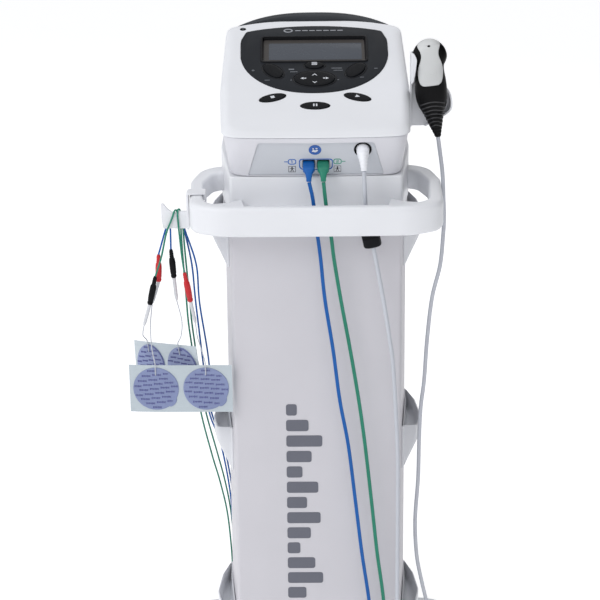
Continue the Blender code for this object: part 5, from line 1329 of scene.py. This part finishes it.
def hoop_bottom(y):
    t = max(0.0, min(1.0, (y + 0.2) / 0.11))
    return DECK_BOTTOM + HOOP_RISE * t * t * (3 - 2 * t)


def deck():
    bm = bmesh.new()

    def neck(front, grow):
        half = [
            (0.0, front - 0.002, 0.3), (0.129 + grow, front, 0.008), (0.13 + grow, front + 0.012, 0.02),
            (0.1455 + grow, -0.01, 0.15), (0.143 + grow, 0.108, 0.03), (0.0, 0.112, 0.3)]
        full = half + [(-x, y, r) for x, y, r in reversed(half) if x > 0]
        return rounded(full, 8)

    loft(bm, [
        level(neck(-0.159, 0.0), DECK_BOTTOM), level(neck(-0.165, 0.0), DECK_TOP - 0.003),
        level(neck(-0.1648, -0.0004), DECK_TOP - 0.0012), level(neck(-0.164, -0.0015), DECK_TOP)])
    body = piece("top_deck_body", bm, "white", "top_deck", smooth=40)
    outer = rounded(
        mirrored([
            (0.06, -0.225, 0.5), (0.145, -0.2235, 0.1), (0.189, -0.202, 0.045), (0.19, -0.085, 0.07),
            (0.174, -0.016, 0.062), (0.1, -0.002, 0.1)]),
        12)
    inner = rounded(
        mirrored([
            (0.06, -0.21, 0.5), (0.13, -0.209, 0.1), (0.167, -0.187, 0.03), (0.171, -0.095, 0.05),
            (0.156, -0.052, 0.02), (0.1, -0.03, 0.1)]),
        12)
    profile = [
        (0.0, 0.1), (0.0, 0.84), (0.03, 0.93), (0.1, 0.985), (0.2, 1.0), (0.62, 1.0), (0.8, 0.985),
        (0.92, 0.94), (0.985, 0.88), (1.0, 0.8), (1.0, 0.14), (0.97, 0.06), (0.9, 0.01), (0.84, 0.0),
        (0.12, 0.0), (0.03, 0.03)]
    rows = []
    for t, h in profile:
        ring = [a + (b - a) * t for a, b in zip(inner, outer)]
        rows.append([Vector((p.x, p.y, hoop_bottom(p.y) * (1 - h) + RING_TOP * h)) for p in ring])
    hoop = loft(bmesh.new(), rows, close=True)
    combine(body, hoop, "UNION")
    webs = bmesh.new()
    for side in (-1, 1):
        plan = rounded(
            [
                (0.112, -0.16, 0.001), (0.104, -0.2165, 0.001), (0.15, -0.2165, 0.001),
                (0.178, -0.196, 0.001), (0.178, -0.187, 0.006), (0.128, -0.174, 0.001)],
            5)
        low = [Vector((side * p.x, p.y, 0.956)) for p in plan]
        high = [Vector((side * p.x, p.y, 0.984)) for p in plan]
        loft(webs, [low, high])
    combine(body, webs, "UNION", smooth=40)
    bevelled(body, 0.0012, 3, 50)


BIN_DEPTH = 0.027


def side_bins():
    wall = 0.0022

    def plan(depth, shrink, side):
        y0, y1 = -0.1 + shrink, 0.056 - shrink
        spine = [
            (column_side(y0) + 0.0006 + shrink, y0, 0.001),
            (column_side(y0) + 0.0006 + depth * 0.88 - shrink, y0 + 0.001, min(0.007, depth * 0.3)),
            (column_side(-0.055) + 0.0006 + depth - shrink, -0.055, 0.04),
            (column_side(0.0) + 0.0006 + depth * 0.62 - shrink, 0.004, 0.05),
            (column_side(y1) + 0.0006 + shrink, y1, 0.002), (column_side(0.0) + 0.0006 + shrink, 0.002, 0.02)]
        return [Vector((p.x * side, p.y)) for p in rounded(spine, 8)]

    for side, label in ((1, "right"), (-1, "left")):
        for height in ("top", "middle", "bottom"):
            node = "bin_%s_%s" % (label, height)
            bottom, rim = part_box(node)[0].z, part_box(node)[1].z
            outer = smooth_rows([(0.0, 0.0035), (0.018, 0.0125), (0.034, 0.021), (0.045, 0.0262)], 4)
            outer += [(rim - bottom - 0.0008, BIN_DEPTH)]
            bm = bmesh.new()
            sections = [level(plan(depth, 0.0, side), bottom + z) for z, depth in outer]
            for height, depth, shrink in (
                (0.0, BIN_DEPTH, 0.0005), (0.0, BIN_DEPTH, wall - 0.0004), (0.0008, BIN_DEPTH, wall),
                (0.02, BIN_DEPTH - 0.001, wall), (0.0245, BIN_DEPTH - 0.0026, wall + 0.0004),
                (0.0275, 0.0215, wall + 0.0014), (0.029, 0.0185, wall + 0.003)):
                sections.append(level(plan(depth, shrink, side), rim - height))
            loft(bm, sections)
            piece(node + "_body", bm, "white", node, smooth=40)
            bm = bmesh.new()
            edge = column_side(-0.1)
            strip = rounded(
                [
                    (edge - 0.001, -0.1035, 0.001), (edge + 0.0022, -0.1035, 0.0014),
                    (edge + 0.003, -0.099, 0.001), (edge - 0.001, -0.099, 0.001)],
                4)
            loft(bm, [[Vector((p.x * side, p.y, z)) for p in strip] for z in (bottom - 0.002, rim - 0.0005)])
            piece(node + "_flange", bm, "white")


def base():
    low_box, high_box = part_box("cart_base")
    half, bottom = high_box.x, low_box.z

    def plan(size, radius):
        return oblong(-size, -size, size, size, radius, 14)

    bm = bmesh.new()
    rows = [
        (0.012, 0.062, bottom), (0.006, 0.066, bottom + 0.001), (0.0026, 0.069, bottom + 0.0034),
        (0.0006, 0.0715, bottom + 0.0068), (0.0, 0.072, bottom + 0.0095), (0.0, 0.072, BASE_TOP + 0.0016),
        (0.0008, 0.0715, BASE_TOP + 0.0034), (0.0028, 0.069, BASE_TOP + 0.0049),
        (0.005, 0.067, BASE_TOP + 0.0052), (0.0078, 0.064, BASE_TOP + 0.0046),
        (0.01, 0.062, BASE_TOP + 0.0022), (0.0124, 0.06, BASE_TOP + 0.0002), (0.015, 0.058, BASE_TOP)]
    loft(bm, [level(plan(half - inset, radius), z) for inset, radius, z in rows])
    piece("cart_base_body", bm, "white", "cart_base", smooth=40)
    screws(
        "base_screws", [(x, y, BASE_TOP - 0.0002) for x in (-0.16, 0.16) for y in (-0.14, 0.08)], (0, 0, 1),
        [
            (0.0, 0.0046), (0.0012, 0.0046), (0.002, 0.0038), (0.0021, 0.0022), (0.0014, 0.002),
            (0.0014, 0.0002)],
        28)


def casters():
    for label in ("front_left", "front_right", "rear_left", "rear_right"):
        refined("caster_fork_" + label, "caster", body="fork_" + label, width=0.0005)
        low_corner, high_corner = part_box("caster_wheel_" + label)
        axle, radius = (low_corner + high_corner) / 2, (high_corner.z - low_corner.z) / 2
        bm = bmesh.new()
        profile = [
            (-0.012, 0.019), (-0.012, 0.0262), (-0.011, 0.0285), (-0.009, 0.0308), (-0.0065, radius - 0.0006),
            (-0.0045, radius), (-0.0008, radius), (-0.0006, radius - 0.0008), (0.0006, radius - 0.0008),
            (0.0008, radius), (0.0045, radius), (0.0065, radius - 0.0006), (0.009, 0.0308), (0.011, 0.0285),
            (0.012, 0.0262), (0.012, 0.019)]
        lathe(bm, profile, axle, (1, 0, 0), 64, close=True)
        piece(
            "caster_tyre_" + label, bm, "tyre", "caster_wheel_" + label, body="wheel_" + label, smooth=30)
        bm = bmesh.new()
        hub = [
            (-0.0105, 0.0056), (-0.0112, 0.008), (-0.0106, 0.01), (-0.008, 0.012), (-0.0078, 0.0165),
            (-0.0105, 0.018), (-0.011, 0.0189), (0.011, 0.0189), (0.0105, 0.018), (0.0078, 0.0165),
            (0.008, 0.012), (0.0106, 0.01), (0.0112, 0.008), (0.0105, 0.0056)]
        lathe(bm, hub, axle, (1, 0, 0), 48, close=True)
        piece("caster_hub_" + label, bm, "hub", body="wheel_" + label, smooth=30)
        if label.startswith("front"):
            refined("brake_lever_" + label, "red", body="brake_" + label, width=0.0006)
            low_corner, high_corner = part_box("brake_lever_" + label)
            bm = bmesh.new()
            for k in range(4):
                y = low_corner.y + 0.0026 + 0.0026 * k
                box(bm, (low_corner.x + 0.002, y, low_corner.z + 0.0036), (
                    high_corner.x - 0.002, y + 0.001, low_corner.z + 0.0046))
            piece("brake_grip_" + label, bm, "red", body="brake_" + label)


def lead_hook():
    refined("lead_hook", "white", width=0.0009, angle=30.0)


SHEET_WIDTH, SHEET_HEIGHT = 0.158, 0.078
PAD_OFFSET, PAD_RADIUS = 0.0385, 0.035


def electrode(name, corner, right, down, curl, print_rows):
    """Stiff release liner with two round gel electrodes stuck to it."""
    corner, right, down = Vector(corner), Vector(right).normalized(), Vector(down).normalized()
    out = down.cross(right).normalized()
    width, height = SHEET_WIDTH, SHEET_HEIGHT

    def on_card(x, y, n=0.0):
        bend = curl * (math.sin(math.pi * x / width) * 0.35 + ((x / width - 0.5) * 2) ** 3 * 0.5) \
            + 0.0022 * math.sin(7.0 * y / height + 1.2) * (x / width)
        return corner + right * x + down * y + out * (n + bend)

    bm = bmesh.new()
    columns, rows, thick = 64, 32, 0.00035
    layers = []
    for n in (0.0, -thick):
        layers.append([
            [bm.verts.new(on_card(width * i / columns, height * j / rows, n)) for i in range(columns + 1)]
            for j in range(rows + 1)])
    for j in range(rows):
        for i in range(columns):
            a, b = layers
            bm.faces.new((a[j][i], a[j][i + 1], a[j + 1][i + 1], a[j + 1][i]))
            bm.faces.new((b[j][i], b[j + 1][i], b[j + 1][i + 1], b[j][i + 1]))

    def border(g):
        return (
            g[0][:-1] + [row[-1] for row in g[:-1]] + list(reversed(g[-1][1:])) + [
                row[0] for row in reversed(g[1:])])
    first, second = border(layers[0]), border(layers[1])
    for i in range(len(first)):
        j = (i + 1) % len(first)
        bm.faces.new((first[i], second[i], second[j], first[j]))
    liner = piece(name + "_liner", bm, "liner", name, smooth=50)

    pads = []
    for side in (-1, 1):
        cx, cy = width / 2 + side * PAD_OFFSET, height / 2
        outline = []
        for k in range(96):
            angle = 2 * math.pi * k / 96
            r = PAD_RADIUS
            gap = abs((angle - math.radians(42) + math.pi) % (2 * math.pi) - math.pi)
            r += 0.0032 * max(0.0, 1 - (gap / 0.24) ** 2) ** 0.5 if gap < 0.24 else 0.0
            outline.append((cx + r * math.cos(angle), cy + r * math.sin(angle)))
        bm = bmesh.new()
        rings = []
        for s in (0.1, 0.26, 0.44, 0.62, 0.8):
            rings.append([on_card(cx + (x - cx) * s, cy + (y - cy) * s, 0.0001) for x, y in outline])
        for s, n in ((1.0, 0.0001), (1.0, 0.0007), (0.985, 0.001), (0.95, 0.0011)):
            rings.append([on_card(cx + (x - cx) * s, cy + (y - cy) * s, n) for x, y in outline])
        for s in (0.8, 0.62, 0.44, 0.26, 0.1):
            rings.append([on_card(cx + (x - cx) * s, cy + (y - cy) * s, 0.0011) for x, y in outline])
        loft(bm, rings)
        label = "left" if side < 0 else "right"
        pads.append(piece("%s_pad_%s" % (name, label), bm, "gel", smooth=30))
        bm = bmesh.new()
        slant = math.radians(-7 if side < 0 else 5)
        for row in range(-4, 5):
            offset = 0.0042 if row % 2 else -0.003
            for col in range(-3, 4):
                lx, ly = col * 0.0165 + offset, row * 0.0076
                if math.hypot(lx, ly) > 0.033:
                    continue
                x = cx + lx * math.cos(slant) - ly * math.sin(slant)
                y = cy + lx * math.sin(slant) + ly * math.cos(slant)
                for dx, w, h in print_rows:
                    quad = [(x + dx, y - h), (x + dx + w, y - h), (x + dx + w, y + h), (x + dx, y + h)]
                    if max(math.hypot(px - cx, py - cy) for px, py in quad) > 0.0338:
                        continue
                    loft(bm, [[on_card(px, py, n) for px, py in quad] for n in (0.0009, 0.0017)])
        for k in range(24 if name.endswith("rear") else 0):
            arc = [math.radians(-88 + 4.2 * (k + step)) for step in (0, 1)]
            quad = [
                (cx + r * math.cos(a), cy + r * math.sin(a))
                for r, a in ((0.0343, arc[0]), (0.0343, arc[1]), (0.0331, arc[1]), (0.0331, arc[0]))]
            loft(bm, [[on_card(px, py, n) for px, py in quad] for n in (0.0009, 0.0019)])
        pads.append(piece("%s_pattern_%s" % (name, label), bm, "gel_print"))
    return liner, pads, on_card


def electrodes():
    dashes = [
        (-0.0062, 0.0016, 0.0014), (-0.0038, 0.0012, 0.0009), (-0.002, 0.0014, 0.0011),
        (0.0002, 0.0012, 0.0008), (0.002, 0.0014, 0.0014), (0.004, 0.0012, 0.0009), (0.0058, 0.001, 0.0013)]
    front, front_pads, front_card = electrode(
        "electrode_sheet_front", (-0.2888, -0.168, 0.721), (1, 0, 0), (0.003, 0, -1), 0.004, dashes)
    rear, rear_pads, rear_card = electrode(
        "electrode_sheet_rear", (-0.2895, -0.05, 0.7145), (0.1049, -0.109, 0.034), (0.03, 0.015, -1), 0.003,
        dashes)
    routes = {
        "green_wire_black": (front_card, -1, tenths(
            (-2510, -1500, 8148), (-2545, -1540, 7801), (-2530, -1640, 7480))),
        "green_wire_red": (front_card, 1, tenths(
            (-1852, -1600, 7855), (-1826, -1640, 7645), (-1750, -1700, 7400))),
        "blue_wire_red": (rear_card, -1, tenths(
            (-2637, -1600, 7830), (-2670, -1450, 7660), (-2690, -1150, 7480))),
        "blue_wire_black": (rear_card, 1, tenths(
            (-2132, -1520, 8201), (-2060, -1600, 7900), (-2080, -1580, 7650)))}
    for wire, (card, side, points) in routes.items():
        x = SHEET_WIDTH / 2 + side * PAD_OFFSET
        landing = [card(x, -0.004, 0.004), card(x, 0.006, 0.0026), card(x, 0.016, 0.0016)]
        path = cord_points(points + landing, 0.003)
        tail = tube("pigtail_" + wire, path, ellipse(10, PIGTAIL_DIAMETER / 2, PIGTAIL_DIAMETER / 2), "cable")


column()
column_graphic()
deck()
side_bins()
base()
casters()
lead_hook()
electrodes()


# -------------------------------------------------------------------- stage
def studio():
    """Seamless pale floor under a soft sky that is brightest to the upper left of the camera."""
    floor_mesh = bpy.data.meshes.new("floor")
    floor_mesh.from_pydata([(-60, -30, 0), (60, -30, 0), (60, 90, 0), (-60, 90, 0)], [], [(0, 1, 2, 3)])
    floor = bpy.data.objects.new("floor", floor_mesh)
    bpy.context.scene.collection.objects.link(floor)
    paint = material("floor_paint", (0.9, 0.9, 0.905), 0.8, mottle=0.004, bump=0.0, specular=0.1)
    shader = paint.node_tree.nodes["Principled BSDF"]
    shader.inputs["Emission Color"].default_value = (1.0, 1.0, 1.0, 1.0)
    shader.inputs["Emission Strength"].default_value = FLOOR_GLOW
    floor_mesh.materials.append(paint)

    world = bpy.data.worlds.new("studio")
    bpy.context.scene.world = world
    world.use_nodes = True
    nodes, links = world.node_tree.nodes, world.node_tree.links
    place = nodes.new("ShaderNodeTexCoord")
    facing = nodes.new("ShaderNodeVectorMath")
    facing.operation = "DOT_PRODUCT"
    facing.inputs[1].default_value = SKY_TOWARDS
    links.new(place.outputs["Generated"], facing.inputs[0])
    spread = nodes.new("ShaderNodeMapRange")
    spread.inputs["From Min"].default_value = SKY_FADES_AT
    spread.inputs["To Min"].default_value, spread.inputs["To Max"].default_value = SKY_DIM, SKY_BRIGHT
    links.new(facing.outputs["Value"], spread.inputs["Value"])
    links.new(spread.outputs["Result"], nodes["Background"].inputs["Strength"])
    nodes["Background"].inputs["Color"].default_value = (0.965, 0.975, 1.0, 1.0)

    def lamp(name, place, aim, size, power):
        data = bpy.data.lights.new(name, "AREA")
        data.shape, data.size, data.energy = "SQUARE", size, power
        obj = bpy.data.objects.new(name, data)
        obj.location = place
        obj.rotation_euler = (Vector(aim) - Vector(place)).to_track_quat("-Z", "Y").to_euler()
        bpy.context.scene.collection.objects.link(obj)

    lamp("key", (-1.9, -2.4, 3.0), (0, 0, 0.85), 1.4, 26)
    lamp("top", (0.1, -0.5, 3.4), (0, 0, 0.9), 1.6, 12)
    lamp("back", (0.8, 3.0, 2.4), (0, 0, 0.8), 2.2, 14)
    bpy.context.scene.view_settings.view_transform = "Standard"


studio()
